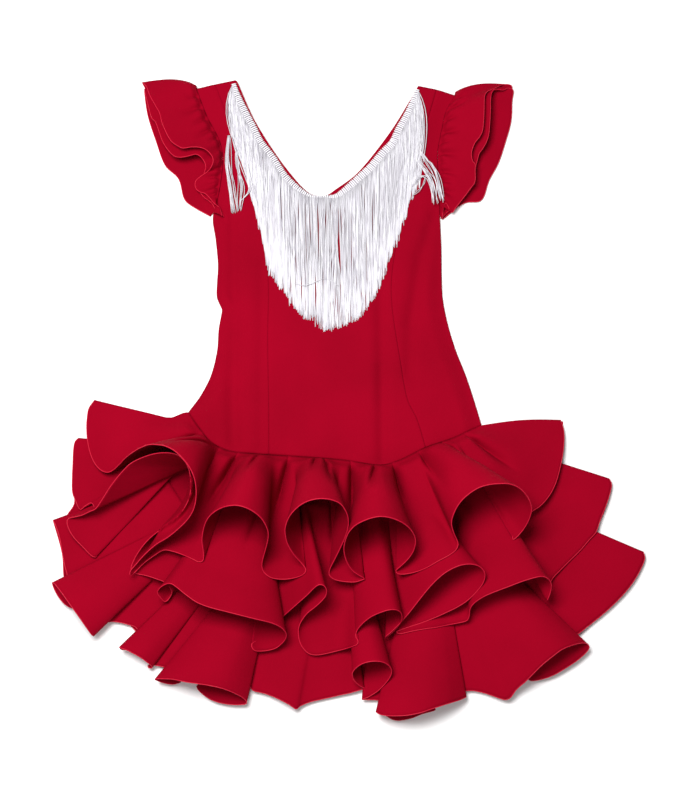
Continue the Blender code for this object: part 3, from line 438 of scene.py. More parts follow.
# The sleeve ruffles' hems. A root is a share of the armhole's length, up from the underarm.
SLEEVE_LEFT_OUTER = waves(
    front=[
        (0.03, -153.5, 229.5, 9), (0.065, -155.5, 237.3, 10), (0.1, -158.5, 242.2, 11),
        (0.127, -162.2, 244.4, 12), (0.153, -167.4, 251.1, 12), (0.18, -173.8, 258.1, 11),
        (0.207, -180.2, 260.8, 9.5), (0.233, -185.4, 265.1, 8.5), (0.26, -187.1, 271.4, 8),
        (0.293, -185.6, 276.4, 9), (0.327, -180.5, 280.3, 11), (0.36, -172.8, 284.7, 15),
        (0.4, -167.0, 289.8, 19), (0.44, -164.3, 296.6, 22), (0.48, -166.3, 303.2, 24),
        (0.52, -172.6, 309.9, 25.5), (0.56, -181.3, 312.8, 26), (0.6, -191.4, 313.2, 26),
        (0.64, -201.4, 312.1, 25), (0.68, -207.7, 315.1, 24.5), (0.74, -216.9, 323.1, 23),
        (0.8, -224.3, 337.5, 21), (0.85, -229.3, 351.0, 18), (0.89, -232.3, 363.1, 15),
        (0.93, -238.6, 375.3, 12), (0.96, -245.8, 389.7, 9), (0.985, -250.5, 402.5, 6),
    ],
    fold=[(1.0, -256.5, 409.5, 3.5)],
    back=[
        (0.97, -252, 401, 0.6), (0.80, -235, 346, 0.6), (0.55, -214, 306, 0.6),
        (0.30, -192, 273, 0.6), (0.04, -169, 236, 0.6),
    ],
)
SLEEVE_LEFT_INNER = waves(
    front=[
        (0.03, -151.2, 229.9, 4.8), (0.055, -156.3, 238.7, 6), (0.08, -160.0, 237.1, 7),
        (0.14, -166.4, 247.6, 7), (0.22, -175.9, 255.3, 6.5), (0.26, -182.2, 264.5, 6.5),
        (0.3, -182.4, 273.7, 6.5), (0.35, -177.6, 281.2, 7.5), (0.4, -175.7, 286.9, 9.5),
        (0.44, -174.1, 291.2, 12), (0.48, -174.9, 296.9, 14.5), (0.52, -179.3, 303.4, 17),
        (0.56, -185.6, 307.0, 18), (0.6, -191.8, 305.4, 18.5), (0.64, -199.3, 303.7, 18),
        (0.67, -206.8, 303.4, 17), (0.7, -213.3, 305.8, 16), (0.74, -221.0, 314.3, 15),
        (0.78, -227.7, 325.8, 13.5), (0.815, -232.7, 339.9, 12), (0.85, -237.6, 353.1, 10),
        (0.87, -242.4, 359.0, 8.5), (0.91, -246.5, 373.1, 7), (0.95, -250.1, 387.2, 5.5),
        (0.98, -253.0, 398.3, 4.8),
    ],
    fold=[(1.0, -253, 401, 3.45)],
    back=[
        (0.97, -253, 395, 2.1), (0.88, -248, 365, 2.1), (0.74, -237, 331, 2.1),
        (0.60, -225, 299, 2.1), (0.44, -208, 281, 2.1), (0.28, -200, 254, 2.1),
        (0.14, -187, 243, 2.1), (0.04, -168, 232, 2.1),
    ],
)
SLEEVE_RIGHT_OUTER = waves(
    front=[
        (0.03, 116.4, 227.4, 6), (0.055, 118.2, 240.4, 10), (0.08, 121.2, 246.1, 12),
        (0.12, 127.9, 234.2, 9), (0.18, 132.2, 239.1, 10), (0.24, 144.7, 254.9, 13),
        (0.28, 150.9, 263.6, 14), (0.32, 155.9, 269.9, 15), (0.36, 157.1, 276.1, 16),
        (0.4, 157.0, 286.2, 17), (0.44, 157.4, 293.9, 17.5), (0.47, 154.3, 297.6, 18),
        (0.5, 152.7, 304.7, 20), (0.533, 153.7, 311.9, 22), (0.567, 157.4, 320.3, 24),
        (0.6, 162.4, 326.5, 25), (0.647, 166.2, 334.2, 25.5), (0.693, 167.9, 345.9, 26),
        (0.74, 168.9, 362.0, 26), (0.79, 169.6, 377.6, 24), (0.84, 171.2, 385.6, 21),
        (0.885, 175.3, 391.4, 17), (0.93, 184.6, 398.1, 11), (0.98, 195.4, 405.7, 5),
    ],
    fold=[(1.0, 206, 404.5, 3.5)],
    back=[
        (0.97, 203, 394, 0.6), (0.80, 190, 346, 0.6), (0.55, 175, 306, 0.6), (0.30, 152, 267, 0.6),
        (0.04, 119, 233, 0.6),
    ],
)
SLEEVE_RIGHT_INNER = waves(
    front=[
        (0.03, 115.1, 227.2, 4.8), (0.09, 122.5, 235.9, 6), (0.155, 132.4, 243.5, 6.5),
        (0.22, 143.6, 255.1, 7), (0.28, 152.3, 266.5, 8), (0.34, 156.1, 276.6, 9),
        (0.39, 158.4, 289.0, 10), (0.44, 159.1, 296.5, 11), (0.48, 161.0, 303.8, 12.5),
        (0.52, 162.8, 309.8, 14), (0.56, 166.5, 314.6, 15.5), (0.6, 171.5, 323.2, 17),
        (0.64, 174.7, 333.4, 18), (0.68, 176.2, 347.8, 18.5), (0.76, 177.4, 365.3, 18.5),
        (0.81, 178.2, 382.0, 17), (0.86, 180.5, 392.1, 14), (0.9, 184.5, 396.3, 12),
        (0.95, 195.0, 397.2, 7), (0.98, 201.2, 400.9, 5),
    ],
    fold=[(1.0, 207.5, 399, 3.45)],
    back=[
        (0.97, 206, 386, 2.1), (0.86, 204, 358, 2.1), (0.74, 197, 332, 2.1), (0.60, 187, 302, 2.1),
        (0.48, 175, 279, 2.1), (0.34, 165, 253, 2.1), (0.18, 144, 249, 2.1), (0.04, 117, 228, 2.1),
    ],
)

# Creases of the bodice, from one end to the other. A negative depth is a ridge.
CREASES = table(
    Crease,
    (-141, 232, -139, 110, 2.2, 10), (-139, 110, -138, 20, 2.3, 11), (-138, 20, -135, -55, 2.1, 9),
    (-103, 170, -102, -60, 1.0, 8), (112, 234, 100, 206, 2.0, 8), (104, 214, 90, 176, 2.3, 11),
    (90, 176, 77, 92, 2.1, 10), (77, 92, 74, 30, 1.3, 9), (40, 150, 41, 40, 1.3, 8),
    (41, 40, 42, -76, 2.0, 8), (28, 110, 30, 0, -0.5, 10), (-48, 60, -44, -60, 0.5, 12),
    (-158, 126, -141, 99, 2.0, 5), (-156, 139, -139, 113, -1.2, 6), (-157, 104, -146, 92, 1.2, 5),
    (-154, 232, -140, 214, 1.6, 6), (-152, 60, -142, 40, 0.8, 6),
)

# The lower edge of the braid, how much of its width shows, and where the strands sewn there
# bow out to and end. The braid's foot is rolled over the neck.
BRAID_EDGE = table(
    Braid,
    (-144, 405, 5, -15, -119, 262), (-141, 390, 7.5, -11, -112, 240),
    (-130, 363, 9, -6, -104, 210), (-120, 344, 8.5, -3, -99, 187), (-111, 326, 8, -1, -96, 165),
    (-95, 304, 8, 0, -86, 145), (-81, 282, 7.5, 0, -74, 127), (-69, 269, 7, 0, -63, 110),
    (-54, 258, 5, 0, -50, 98), (-42, 254, 3, 0, -38, 91), (-26, 254, 3, 0, -25, 83),
    (-14, 253, 5, 0, -13, 84), (-1, 260, 7.5, 0, 2, 91), (19, 277, 9.5, 0, 19, 104),
    (33, 290, 10, 0, 31, 122), (48, 309, 10, 0, 42, 146), (61, 324, 9.5, 1, 50, 170),
    (68, 341, 9, 3, 58, 192), (79, 363, 8, 6, 68, 222), (87, 384, 7, 10, 78, 248),
    (90, 396, 5, 13, 88, 268),
)

# Strands that lie apart from the rest, each bunch through four places.
LOOSE = table(
    Loose,
    (-146, 336, -147, 301, -142, 272, -137, 237, 15, 11.0),
    (-137, 318, -134, 292, -129, 269, -131, 241, 7, 7.0),
    (-132, 308, -121, 287, -121, 263, -132, 249, 3, 1.5),
    (88, 318, 101, 298, 109, 280, 115, 252, 10, 7.0),
    (84, 306, 96, 291, 105, 273, 108, 247, 10, 8.0),
    (80, 268, 91, 281, 101, 277, 106, 253, 4, 4.0), (97, 281, 94, 270, 87, 261, 80, 255, 2, 1.2),
    (-64, 143, -50, 139, -28, 147, -10, 137, 1, 0.0),
)


def smooth_step(value):
    value = np.clip(value, 0.0, 1.0)
    return value * value * (3.0 - 2.0 * value)


def through(points, steps):
    """A smooth curve through the rows of an array, with this many steps between each two."""
    points = np.array(points, float)
    last = len(points) - 1
    out = []
    for i in range(last):
        before = points[max(i - 1, 0)]
        start = points[i]
        end = points[i + 1]
        after = points[min(i + 2, last)]
        span = np.linalg.norm(end - start)
        slope_in = (end - before) * (span / max(span + np.linalg.norm(start - before), 1e-6))
        slope_out = (after - start) * (span / max(np.linalg.norm(after - end) + span, 1e-6))
        t = (np.arange(steps) / steps)[:, None]
        out.append(
            start * (2 * t**3 - 3 * t**2 + 1)
            + slope_in * (t**3 - 2 * t**2 + t)
            + end * (3 * t**2 - 2 * t**3)
            + slope_out * (t**3 - t**2)
        )
    out.append(points[-1:])
    return np.concatenate(out)


def flat(points):
    return through([(p.x, p.y) for p in points], CURVE_STEPS)


def at_height(curve, z):
    """A flat curve's points with this z."""
    return np.column_stack([curve, np.full(len(curve), z)])


def lengths_of(curve):
    """How far along a curve each of its points is."""
    steps = np.linalg.norm(np.diff(curve[:, :3], axis=0), axis=1)
    return np.concatenate([[0.0], np.cumsum(steps)])


def length_of(curve):
    return lengths_of(curve)[-1]


def resampled(curve, want):
    run = lengths_of(curve)
    return np.stack([np.interp(want, run, curve[:, k]) for k in range(curve.shape[1])], axis=-1)


def even(curve, pitch):
    """The same curve with its points evenly spaced, about this far apart."""
    length = length_of(curve)
    count = max(2, int(round(length / pitch)) + 1)
    return resampled(curve, np.linspace(0.0, length, count))


def along(curve, fractions):
    """Points this far along a curve, by its length."""
    return resampled(curve, np.clip(fractions, 0.0, 1.0) * length_of(curve))


def y_at(curve, x):
    """The y of a curve, which runs from left to right, at these x."""
    return np.interp(x, curve[:, 0], curve[:, 1])


def x_at(curve, y):
    """The x of a curve, which runs upwards, at these y."""
    return np.interp(y, curve[:, 1], curve[:, 0])


def lofted(start, end, rows):
    """A grid of straight lines from each point of one curve to the same point of another."""
    t = np.linspace(0.0, 1.0, rows)[:, None, None]
    return start[None] * (1.0 - t) + end[None] * t


def column_runs(grid):
    """How far down its column each point of a grid is."""
    steps = np.linalg.norm(np.diff(grid, axis=0, prepend=grid[:1]), axis=2)
    return np.cumsum(steps, axis=0)


EDGE_LEFT = flat(SIDE_LEFT + ARMHOLE_LEFT[1:])
EDGE_RIGHT = flat(SIDE_RIGHT + ARMHOLE_RIGHT[1:])
CUT_LEFT = flat(PRINCESS_LEFT)
CUT_RIGHT = flat(PRINCESS_RIGHT)
HIP = flat(HIP_SEAM)


def crease_depth(x, y):
    """How far the bodice's creases sink at these places. The deepest trough and ridge count."""
    troughs = np.zeros_like(x)
    ridges = np.zeros_like(x)
    for crease in CREASES:
        run = np.array([crease.x1 - crease.x0, crease.y1 - crease.y0], float)
        reach = ((x - crease.x0) * run[0] + (y - crease.y0) * run[1]) / (run @ run)
        inside = np.clip(reach, 0.0, 1.0)
        away = np.hypot(x - crease.x0 - run[0] * inside, y - crease.y0 - run[1] * inside)
        depth = crease.depth * CREASE_DEPTH * np.exp(-((away / crease.width) ** 2))
        troughs = np.maximum(troughs, depth)
        ridges = np.minimum(ridges, depth)
    return troughs + ridges


def front_height(x, y):
    """Height of the middle of the cloth on the bodice's front."""
    x = np.asarray(x, float)
    y = np.asarray(y, float)
    inside = np.maximum(0.0, np.minimum(x - x_at(EDGE_LEFT, y), x_at(EDGE_RIGHT, y) - x))
    rise = smooth_step(inside / EDGE_RISE)
    hip = smooth_step((HIP_RISE_TOP - y) / (HIP_RISE_TOP - HIP_RISE_BOTTOM))
    top = FRONT_PUFF_Z + (SEAM_Z - FRONT_PUFF_Z) * hip
    arm = smooth_step((y - UNDERARM_Y) / ARMHOLE_RISE)
    edge = FRONT_EDGE_Z + (ARMHOLE_Z - FRONT_EDGE_Z) * arm
    return edge + (top - edge) * rise - crease_depth(x, y) * rise


def seam_height(x, edge):
    """Height of a ruffle's seam, from this height at its ends to that of the layers under it."""
    inside = np.minimum(x - x.min(), x.max() - x)
    return edge + (SEAM_Z - edge) * smooth_step(inside / EDGE_RISE)


def ripple(grid, depth, seed):
    """Raises and lowers a surface by soft uneven noise."""
    out = grid.copy()
    lift = [
        noise.noise(Vector((p[0] / RIPPLE_SIZE + seed, p[1] / RIPPLE_SIZE, p[2] / RIPPLE_SIZE + seed)))
        for p in grid.reshape(-1, 3)
    ]
    out[:, :, 2] += np.array(lift).reshape(grid.shape[:2]) * depth
    return out


def grid_faces(rows, columns):
    index = np.arange(rows * columns).reshape(rows, columns)
    corners = (index[:-1, :-1], index[1:, :-1], index[1:, 1:], index[:-1, 1:])
    return np.stack([corner.ravel() for corner in corners], axis=1)


def material(name):
    made = bpy.data.materials.new(name)
    made.use_nodes = True
    return made, made.node_tree, made.node_tree.nodes["Principled BSDF"]


def add_node(tree, kind, source, socket, **values):
    """A shader node with these input values, fed by a source at this socket."""
    node = tree.nodes.new(kind)
    for name, value in values.items():
        node.inputs[name.replace("_", " ")].default_value = value
    tree.links.new(source, node.inputs[socket])
    return node


def noise_texture(tree, place, scale, detail):
    node = add_node(tree, "ShaderNodeTexNoise", place, "Vector", Scale=scale, Detail=detail)
    return node.outputs["Fac"]


def add_bump(tree, shader, height, strength, distance):
    bump = add_node(tree, "ShaderNodeBump", height, "Height", Strength=strength, Distance=distance)
    tree.links.new(bump.outputs["Normal"], shader.inputs["Normal"])


def add_colours(tree, shader, share, dark, light, dark_at, light_at):
    """Colours a shader from dark to light as this share rises from one value to the other."""
    ramp = add_node(tree, "ShaderNodeValToRGB", share, "Fac")
    stops = ((dark_at, dark), (light_at, light))
    for element, (position, colour) in zip(ramp.color_ramp.elements, stops):
        element.position = position
        element.color = (*colour, 1.0)
    tree.links.new(ramp.outputs["Color"], shader.inputs["Base Color"])


def crepe(name, light, dark):
    """Stretch crepe: fine diagonal ribs, a grainy surface and soft uneven shades."""
    made, tree, shader = material(name)
    place = tree.nodes.new("ShaderNodeTexCoord").outputs["Object"]
    turn = add_node(tree, "ShaderNodeMapping", place, "Vector", Rotation=(0.0, 0.0, radians(38)))
    waviness = {"Scale": 330.0, "Distortion": 6.0, "Detail": 2.0, "Detail_Scale": 2.0}
    rib = add_node(tree, "ShaderNodeTexWave", turn.outputs["Vector"], "Vector", **waviness)
    surface = add_node(tree, "ShaderNodeMath", rib.outputs["Fac"], 0)
    surface.operation = "ADD"
    tree.links.new(noise_texture(tree, place, 1400.0, 3.0), surface.inputs[1])
    add_bump(tree, shader, surface.outputs["Value"], 0.35, 0.0004)
    speck = add_node(tree, "ShaderNodeMath", surface.outputs["Value"], 0)
    speck.operation = "MULTIPLY_ADD"
    speck.inputs[1].default_value = SPECK_SHARE
    tree.links.new(noise_texture(tree, place, 9.0, 3.0), speck.inputs[2])
    add_colours(tree, shader, speck.outputs["Value"], dark, light, 0.35, 1.0)
    shader.inputs["Roughness"].default_value = 0.85
    shader.inputs["Specular IOR Level"].default_value = 0.04
    return made


def thread(name, light, dark, scale, along_y=1.0):
    """Satin thread: soft streaks of light and shade, drawn out along y where along_y is small."""
    made, tree, shader = material(name)
    place = tree.nodes.new("ShaderNodeTexCoord").outputs["Object"]
    drawn = add_node(tree, "ShaderNodeMapping", place, "Vector", Scale=(1.0, along_y, 1.0))
    streak = noise_texture(tree, drawn.outputs["Vector"], scale, 4.0)
    add_colours(tree, shader, streak, dark, light, 0.35, 0.62)
    add_bump(tree, shader, streak, 0.3, 0.0003)
    shader.inputs["Roughness"].default_value = 0.6
    shader.inputs["Specular IOR Level"].default_value = 0.2
    return made


CREPE = crepe("red_crepe", (0.292, 0.0, 0.0122), (0.222, 0.0, 0.0086))
# The rolled hem's thread is about twice as light as the crepe, in the same red: a painted highlight
# along every hem.
HEM_HIGHLIGHT_THREAD = thread("rolled_hem_painted_highlight", (0.58, 0.004, 0.035), (0.44, 0.002, 0.022), 900.0)
FRINGE_SILK = thread("fringe_silk", (0.76, 0.75, 0.78), (0.50, 0.48, 0.53), 620.0, 0.03)
BRAID_SILK = thread("braid_silk", (0.86, 0.85, 0.88), (0.76, 0.74, 0.79), 700.0)
# The braid's band under the ribs is grey: painted shade for the gaps between the white ribs.
BAND_PAINTED_SHADE = thread("band_painted_shade", (0.42, 0.39, 0.43), (0.34, 0.31, 0.35), 700.0)


def add_mesh(name, vertices, faces, look):
    points = (np.asarray(vertices, float).reshape(-1, 3) + (CENTRE_X, CENTRE_Y, 0.0)) * MM
    mesh = bpy.data.meshes.new(name)
    mesh.from_pydata(points.tolist(), [], [list(map(int, f)) for f in faces])
    mesh.validate()
    mesh.materials.append(look)
    mesh.polygons.foreach_set("use_smooth", [True] * len(mesh.polygons))
    obj = bpy.data.objects.new(name, mesh)
    bpy.context.scene.collection.objects.link(obj)
    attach(obj, "root")
    return obj


def cloth(grid, node):
    """A cloth wall on this grid, in the place of the node's solid."""
    obj = add_mesh(node + "_cloth", grid, grid_faces(*grid.shape[:2]), CREPE)
    wall = obj.modifiers.new("wall", "SOLIDIFY")
    wall.thickness = CLOTH * MM
    wall.offset = 0.0
    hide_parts(node)
    return obj


def tubes(name, paths, radius, sides, look):
    """Round strands along paths, in one mesh, each with its own radius."""
    vertices = []
    faces = []
    first = 0
    turns = (np.arange(sides) * 2 * pi / sides)[None, :, None]
    for path, size in zip(paths, radius):
        path = np.asarray(path, float)
        run = np.gradient(path, axis=0)
        run /= np.maximum(np.linalg.norm(run, axis=1), 1e-9)[:, None]
        up = np.tile([0.0, 0.0, 1.0], (len(path), 1))
        up[np.abs(run[:, 2]) > 0.9] = (0.0, 1.0, 0.0)
        side = np.cross(run, up)
        side /= np.linalg.norm(side, axis=1)[:, None]
        over = np.cross(side, run)
        ring = side[:, None] * np.cos(turns) + over[:, None] * np.sin(turns)
        vertices.append((path[:, None] + ring * size).reshape(-1, 3))
        index = first + np.arange(len(path) * sides).reshape(len(path), sides)
        turned = np.roll(index, -1, axis=1)
        walls = np.stack([index[:-1], turned[:-1], turned[1:], index[1:]], axis=2)
        faces += walls.reshape(-1, 4).tolist()
        faces.append(index[0][::-1].tolist())
        faces.append(index[-1].tolist())
        first += len(path) * sides
    return add_mesh(name, np.concatenate(vertices), faces, look)


def surface_tree(grids):
    vertices = []
    faces = []
    first = 0
    for grid in grids:
        vertices.append(grid.reshape(-1, 3))
        faces.append(grid_faces(*grid.shape[:2]) + first)
        first += len(vertices[-1])
    return BVHTree.FromPolygons(np.concatenate(vertices).tolist(), np.concatenate(faces).tolist())


def laid_on(grid, layers):
    """Lifts a surface softly to where it clears the layers beneath it."""
    tree = surface_tree(layers)
    rows, columns = grid.shape[:2]
    need = np.zeros((rows, columns))
    down = Vector((0, 0, -1))
    for r in range(1, rows):
        for c in range(columns):
            x, y, z = grid[r, c]
            hit, normal, _, _ = tree.ray_cast(Vector((x, y, SKY)), down)
            if hit is not None:
                need[r, c] = max(0.0, hit.z + CLEAR / max(abs(normal.z), STEEPEST) - z)
    lift = need.copy()
    for _ in range(SETTLE_PASSES):
        padded = np.pad(lift, 1, mode="edge")
        mean = (padded[:-2, 1:-1] + padded[2:, 1:-1] + padded[1:-1, :-2] + padded[1:-1, 2:]) / 4
        mean[0] = 0.0
        lift = np.maximum(need, mean * SETTLE_SPREAD)
    out = grid.copy()
    out[:, :, 2] += lift
    return out


def hem_roots(rows):
    """The x on the seam for each row of a hem, spread by length between the rows that name theirs."""
    run = lengths_of(np.array([(h.x, h.y, h.z) for h in rows]))
    named = [i for i, h in enumerate(rows) if h.root is not None]
    return np.interp(run, run[named], [rows[i].root for i in named])


def pleated(grid, pleats, puff):
    """Puffs a ruffle up just below its seam, and leaves narrow valleys between the folds."""
    run = column_runs(grid)
    valley = np.zeros(grid.shape[:2])
    for pleat in pleats:
        middle = pleat.x + pleat.turn * run
        full = pleat.reach * VALLEY_FULL
        fade = 1.0 - smooth_step((run - full) / (pleat.reach - full))
        away = (grid[:, :, 0] - middle) / (VALLEY_WIDTH + VALLEY_SPREAD * run)
        away = np.abs(away * np.where(away > 0, SOFT_SIDE, STEEP_SIDE))
        valley = np.maximum(valley, pleat.depth * fade * np.exp(-(away**VALLEY_SHARPNESS)))
    rise = smooth_step(run / PUFF_START) * (1.0 - smooth_step((run - PUFF_END) / PUFF_FADE))
    root_x = grid[:1, :, 0]
    rise = rise * smooth_step(np.minimum(root_x - root_x[0, 0], root_x[0, -1] - root_x) / EDGE_RISE)
    grid = grid.copy()
    grid[:, :, 2] += puff * rise * (1.0 - VALLEY_DEPTH * valley)
    return grid


def wing_edge(grid, columns):
    """Lets a ruffle's left side edge sag near the seam, and bows its right one a little upwards."""
    t = np.linspace(0.0, 1.0, len(grid))[:, None]
    share = smooth_step(1.0 - np.arange(grid.shape[1])[None] / columns)
    grid = grid.copy()
    sag = np.minimum(smooth_step(t / WING_LOW), (1.0 - t) / (1.0 - WING_LOW))
    grid[:, :, 1] -= WING_DROP * sag * share
    grid[:, :, 1] += WING_BOW * np.sin(pi * t) * share[:, ::-1]
    return grid


def ruffle_front(hem, seam, edge, belly, sag):
    curve = flat(seam)
    both = np.column_stack([[(h.x, h.y, h.z) for h in hem], hem_roots(hem)])
    both = even(through(both, HEM_STEPS), RUFFLE_PITCH)
    end = both[:, :3]
    root_x = np.clip(both[:, 3], curve[0, 0], curve[-1, 0])
    start = np.column_stack([root_x, y_at(curve, root_x), seam_height(root_x, edge)])
    grid = lofted(start, end, RUFFLE_ROWS)
    high = np.clip((end[:, 2] - start[:, 2]) / HIGH_FLUTE, 0.0, 1.0)[None]
    t = np.linspace(0.0, 1.0, RUFFLE_ROWS)[:, None]
    grid[:, :, 2] += (belly * high - sag * (1.0 - high) * high * 4.0) * (t * (1.0 - t) * 4.0)
    grid[:, :, 2] = np.maximum(grid[:, :, 2], edge)
    return grid


def ruffle_back(hem, seam, height):
    curve = flat(seam)
    edge = even(at_height(flat(hem), height), BACK_PITCH)
    share = np.linspace(0.0, 1.0, len(edge))
    root_x = curve[0, 0] + (curve[-1, 0] - curve[0, 0]) * share
    start = at_height(np.column_stack([root_x, y_at(curve, root_x)]), height)
    return lofted(start, edge, BACK_ROWS)


def sleeve(rows, armhole, outward, front_z, back_z, ease):
    """A sleeve ruffle from its hem's rows, folded over the shoulder and gathered at the armhole."""
    curve = flat(armhole)
    reach = (front_z - back_z) / 2
    heights = {"front": front_z, "back": back_z, "fold": (front_z + back_z) / 2}
    both = []
    for wave, (x, y) in zip(rows, along(curve, np.array([w.root for w in rows]))):
        y += reach * (1.0 + ease) * (wave.side == "fold")
        both.append((wave.x, wave.y, wave.z, x + outward * SEAM_GAP, y, heights[wave.side]))
    both = even(through(both, SLEEVE_STEPS), SLEEVE_PITCH)
    both[:, (2, 5)] = np.maximum(both[:, (2, 5)], back_z)
    start = both[:, 3:]
    grid = lofted(start, both[:, :3], SLEEVE_ROWS)
    run = column_runs(grid)
    t = np.linspace(0.0, 1.0, SLEEVE_ROWS)[:, None]
    root = lengths_of(start)[None]
    near = np.exp(-(((root - root[0, np.argmax(start[:, 1])]) / FOLD_WIDTH) ** 2))
    grid[:, :, 1] += FOLD_BOW * near * np.sin(pi * t**FOLD_LEAN)
    lift = np.zeros(grid.shape[:2])
    for gather in GATHERS:
        away = (root - gather.at * length_of(curve)) / (gather.width + GATHER_SPREAD * run)
        fade = (1.0 - smooth_step(run / gather.reach)) * smooth_step(run / GATHER_START)
        lift += gather.depth * fade * np.exp(-(away**2))
    swell = GATHER_DEPTH * lift + SLEEVE_PUFF * smooth_step(run / SLEEVE_PUFF_START) * (1.0 - t)
    front = smooth_step((start[:, 2] - back_z) / reach - 1.0)
    grid[:, :, 2] += np.maximum(swell, DEEPEST) * front[None]
    return grid


def add_ruffle(grid, node, radius):
    """A ruffle's cloth and the rolled hem sewn along its last row."""
    obj = cloth(grid, node)
    # The cord's lighter red is a painted highlight along the hem.
    cord = tubes(node + "_hem", [grid[-1]], [radius], HEM_SIDES, HEM_HIGHLIGHT_THREAD)


def skirt_base(height):
    """An underskirt panel, from the hip seam to the seam of the lowest ruffle."""
    edges = []
    for curve, drop in ((HIP, BASE_TOP_DROP), (flat(SEAM_3), BASE_HEM_DROP)):
        x = curve[:, 0]
        inside = (x > x[0] + BASE_INSET) & (x < x[-1] - BASE_INSET)
        edges.append(at_height(curve[inside] - (0, drop), height))
    share = np.linspace(0.0, 1.0, BASE_COLUMNS)
    return lofted(along(edges[0], share), along(edges[1], share), BASE_ROWS)


def ruffles():
    base_back = skirt_base(BASE_BACK_Z)
    base_front = skirt_base(BASE_FRONT_Z)
    back_1 = wing_edge(ruffle_back(BACK_HEM_1, HIP_SEAM, FLOOR_LAYER), WING_BACK_COLUMNS)
    back_2 = ruffle_back(BACK_HEM_2, SEAM_2, RUFFLE_2_BACK_Z)
    back_3 = ruffle_back(BACK_HEM_3, SEAM_3, RUFFLE_3_BACK_Z)
    front_1 = ruffle_front(HEM_1, HIP_SEAM, FLOOR_LAYER + LAYER, BELLY_1, SAG_1)
    front_1 = wing_edge(pleated(front_1, PLEATS_1, PUFF_1), WING_FRONT_COLUMNS)
    front_2 = ruffle_front(HEM_2, SEAM_2, RUFFLE_2_BACK_Z + LAYER, BELLY_2, SAG_2)
    front_2 = pleated(front_2, PLEATS_2, PUFF_2)
    front_3 = ruffle_front(HEM_3, SEAM_3, RUFFLE_3_BACK_Z + LAYER, BELLY_3, SAG_3)
    under = [base_front, base_back, back_3]
    front_3 = laid_on(ripple(front_3, RIPPLE_3_DEPTH, 3.1), under)
    front_2 = laid_on(ripple(front_2, RIPPLE_DEPTH, 7.7), under + [front_3])
    front_1 = laid_on(ripple(front_1, RIPPLE_DEPTH, 1.3), under + [front_3, front_2])
    for node, grid, rests in (
        ("skirt_base_back", base_back, "ruffle_3_back"),
        ("skirt_base_front", base_front, "skirt_base_back"),
    ):
        cloth(grid, node)
    for level, front, back in ((1, front_1, back_1), (2, front_2, back_2), (3, front_3, back_3)):
        for half, grid, held in (("front", front, "gathered"), ("back", back, "laid")):
            add_ruffle(grid, f"ruffle_{level}_{half}", HEM_RADIUS)


def sleeves():
    layers = (
        ("inner", ARMHOLE_Z, RUFFLE_2_BACK_Z, INNER_FOLD_EASE),
        ("outer", ARMHOLE_Z + LAYER, FLOOR_LAYER, OUTER_FOLD_EASE),
    )
    for side, outward, armhole, hems in (
        ("left", -1, ARMHOLE_LEFT, (SLEEVE_LEFT_INNER, SLEEVE_LEFT_OUTER)),
        ("right", 1, ARMHOLE_RIGHT, (SLEEVE_RIGHT_INNER, SLEEVE_RIGHT_OUTER)),
    ):
        for (layer, front_z, back_z, ease), hem in zip(layers, hems):
            grid = sleeve(hem, armhole, outward, front_z, back_z, ease)
            node = f"sleeve_{side}_{layer}"
            add_ruffle(grid, node, SLEEVE_HEM_RADIUS)


def patch(bottom, top, left, right, columns, rows, fade=1):
    """x and y of a panel between four edges. The bow of its sides dies out across it."""
    v = np.linspace(0.0, 1.0, rows + 1)[:, None]
    u = np.linspace(0.0, 1.0, columns + 1)[None, :]
    low_x = bottom[0, 0] + (bottom[-1, 0] - bottom[0, 0]) * u
    top_x = top[0, 0] + (top[-1, 0] - top[0, 0]) * u
    left_bow = along(left, v[:, 0]) - (bottom[0][None] * (1 - v) + top[0][None] * v)
    right_bow = along(right, v[:, 0]) - (bottom[-1][None] * (1 - v) + top[-1][None] * v)
    a = (1.0 - u) ** fade
    b = u**fade
    x = low_x * (1 - v) + top_x * v + left_bow[:, :1] * a + right_bow[:, :1] * b
    y = y_at(bottom, low_x) * (1 - v) + y_at(top, top_x) * v + left_bow[:, 1:] * a + right_bow[:, 1:] * b
    return x, y


def between(curve, start_x, end_x):
    """The stretch of a curve between two x."""
    inside = curve[(curve[:, 0] > start_x) & (curve[:, 0] < end_x)]
    start = (start_x, float(y_at(curve, start_x)))
    end = (end_x, float(y_at(curve, end_x)))
    return np.concatenate([[start], inside, [end]])


def bodice():
    """The three front panels and the back. Returns the front ones with their grids and sizes."""
    neck = flat(NECK)
    gap = (PANEL_GAP, 0)
    made = []
    for name, left, right, middle, columns, size in (
        ("bodice_front_centre", CUT_LEFT, CUT_RIGHT, neck, CENTRE_COLUMNS, (0.28, 0.50)),
        ("bodice_front_side_left", EDGE_LEFT, CUT_LEFT, neck[:0], SIDE_COLUMNS, (0.11, 0.49)),
        ("bodice_front_side_right", CUT_RIGHT, EDGE_RIGHT, neck[:0], SIDE_COLUMNS, (0.11, 0.47)),
    ):
        bottom = between(HIP, left[0, 0], right[0, 0])
        top = np.concatenate([left[-1:], middle, right[-1:]])
        x, y = patch(bottom, top, left + gap, right - gap, columns, PANEL_ROWS)
        cut = np.minimum(np.abs(x - x_at(CUT_LEFT, y)), np.abs(x - x_at(CUT_RIGHT, y)))
        z = front_height(x, y) - PANEL_DIP * np.exp(-((cut / SEAM_SOFT) ** 2))
        z -= SEAM_DIP * np.exp(-(((y - y_at(HIP, x)) / SEAM_SOFT) ** 2))
        grid = np.stack([x, y, z], axis=2)
        made.append((cloth(grid, name), grid, size))
    top = np.concatenate([EDGE_LEFT[-1:], neck, EDGE_RIGHT[-1:]])
    sides = (EDGE_LEFT + gap, EDGE_RIGHT - gap)
    x, y = patch(HIP, top, *sides, BACK_PANEL_COLUMNS, BACK_PANEL_ROWS, BACK_FADE)
    back = np.stack([x, y, np.full_like(x, FLOOR_LAYER)], axis=2)
    cloth(back, "bodice_back")
    return made


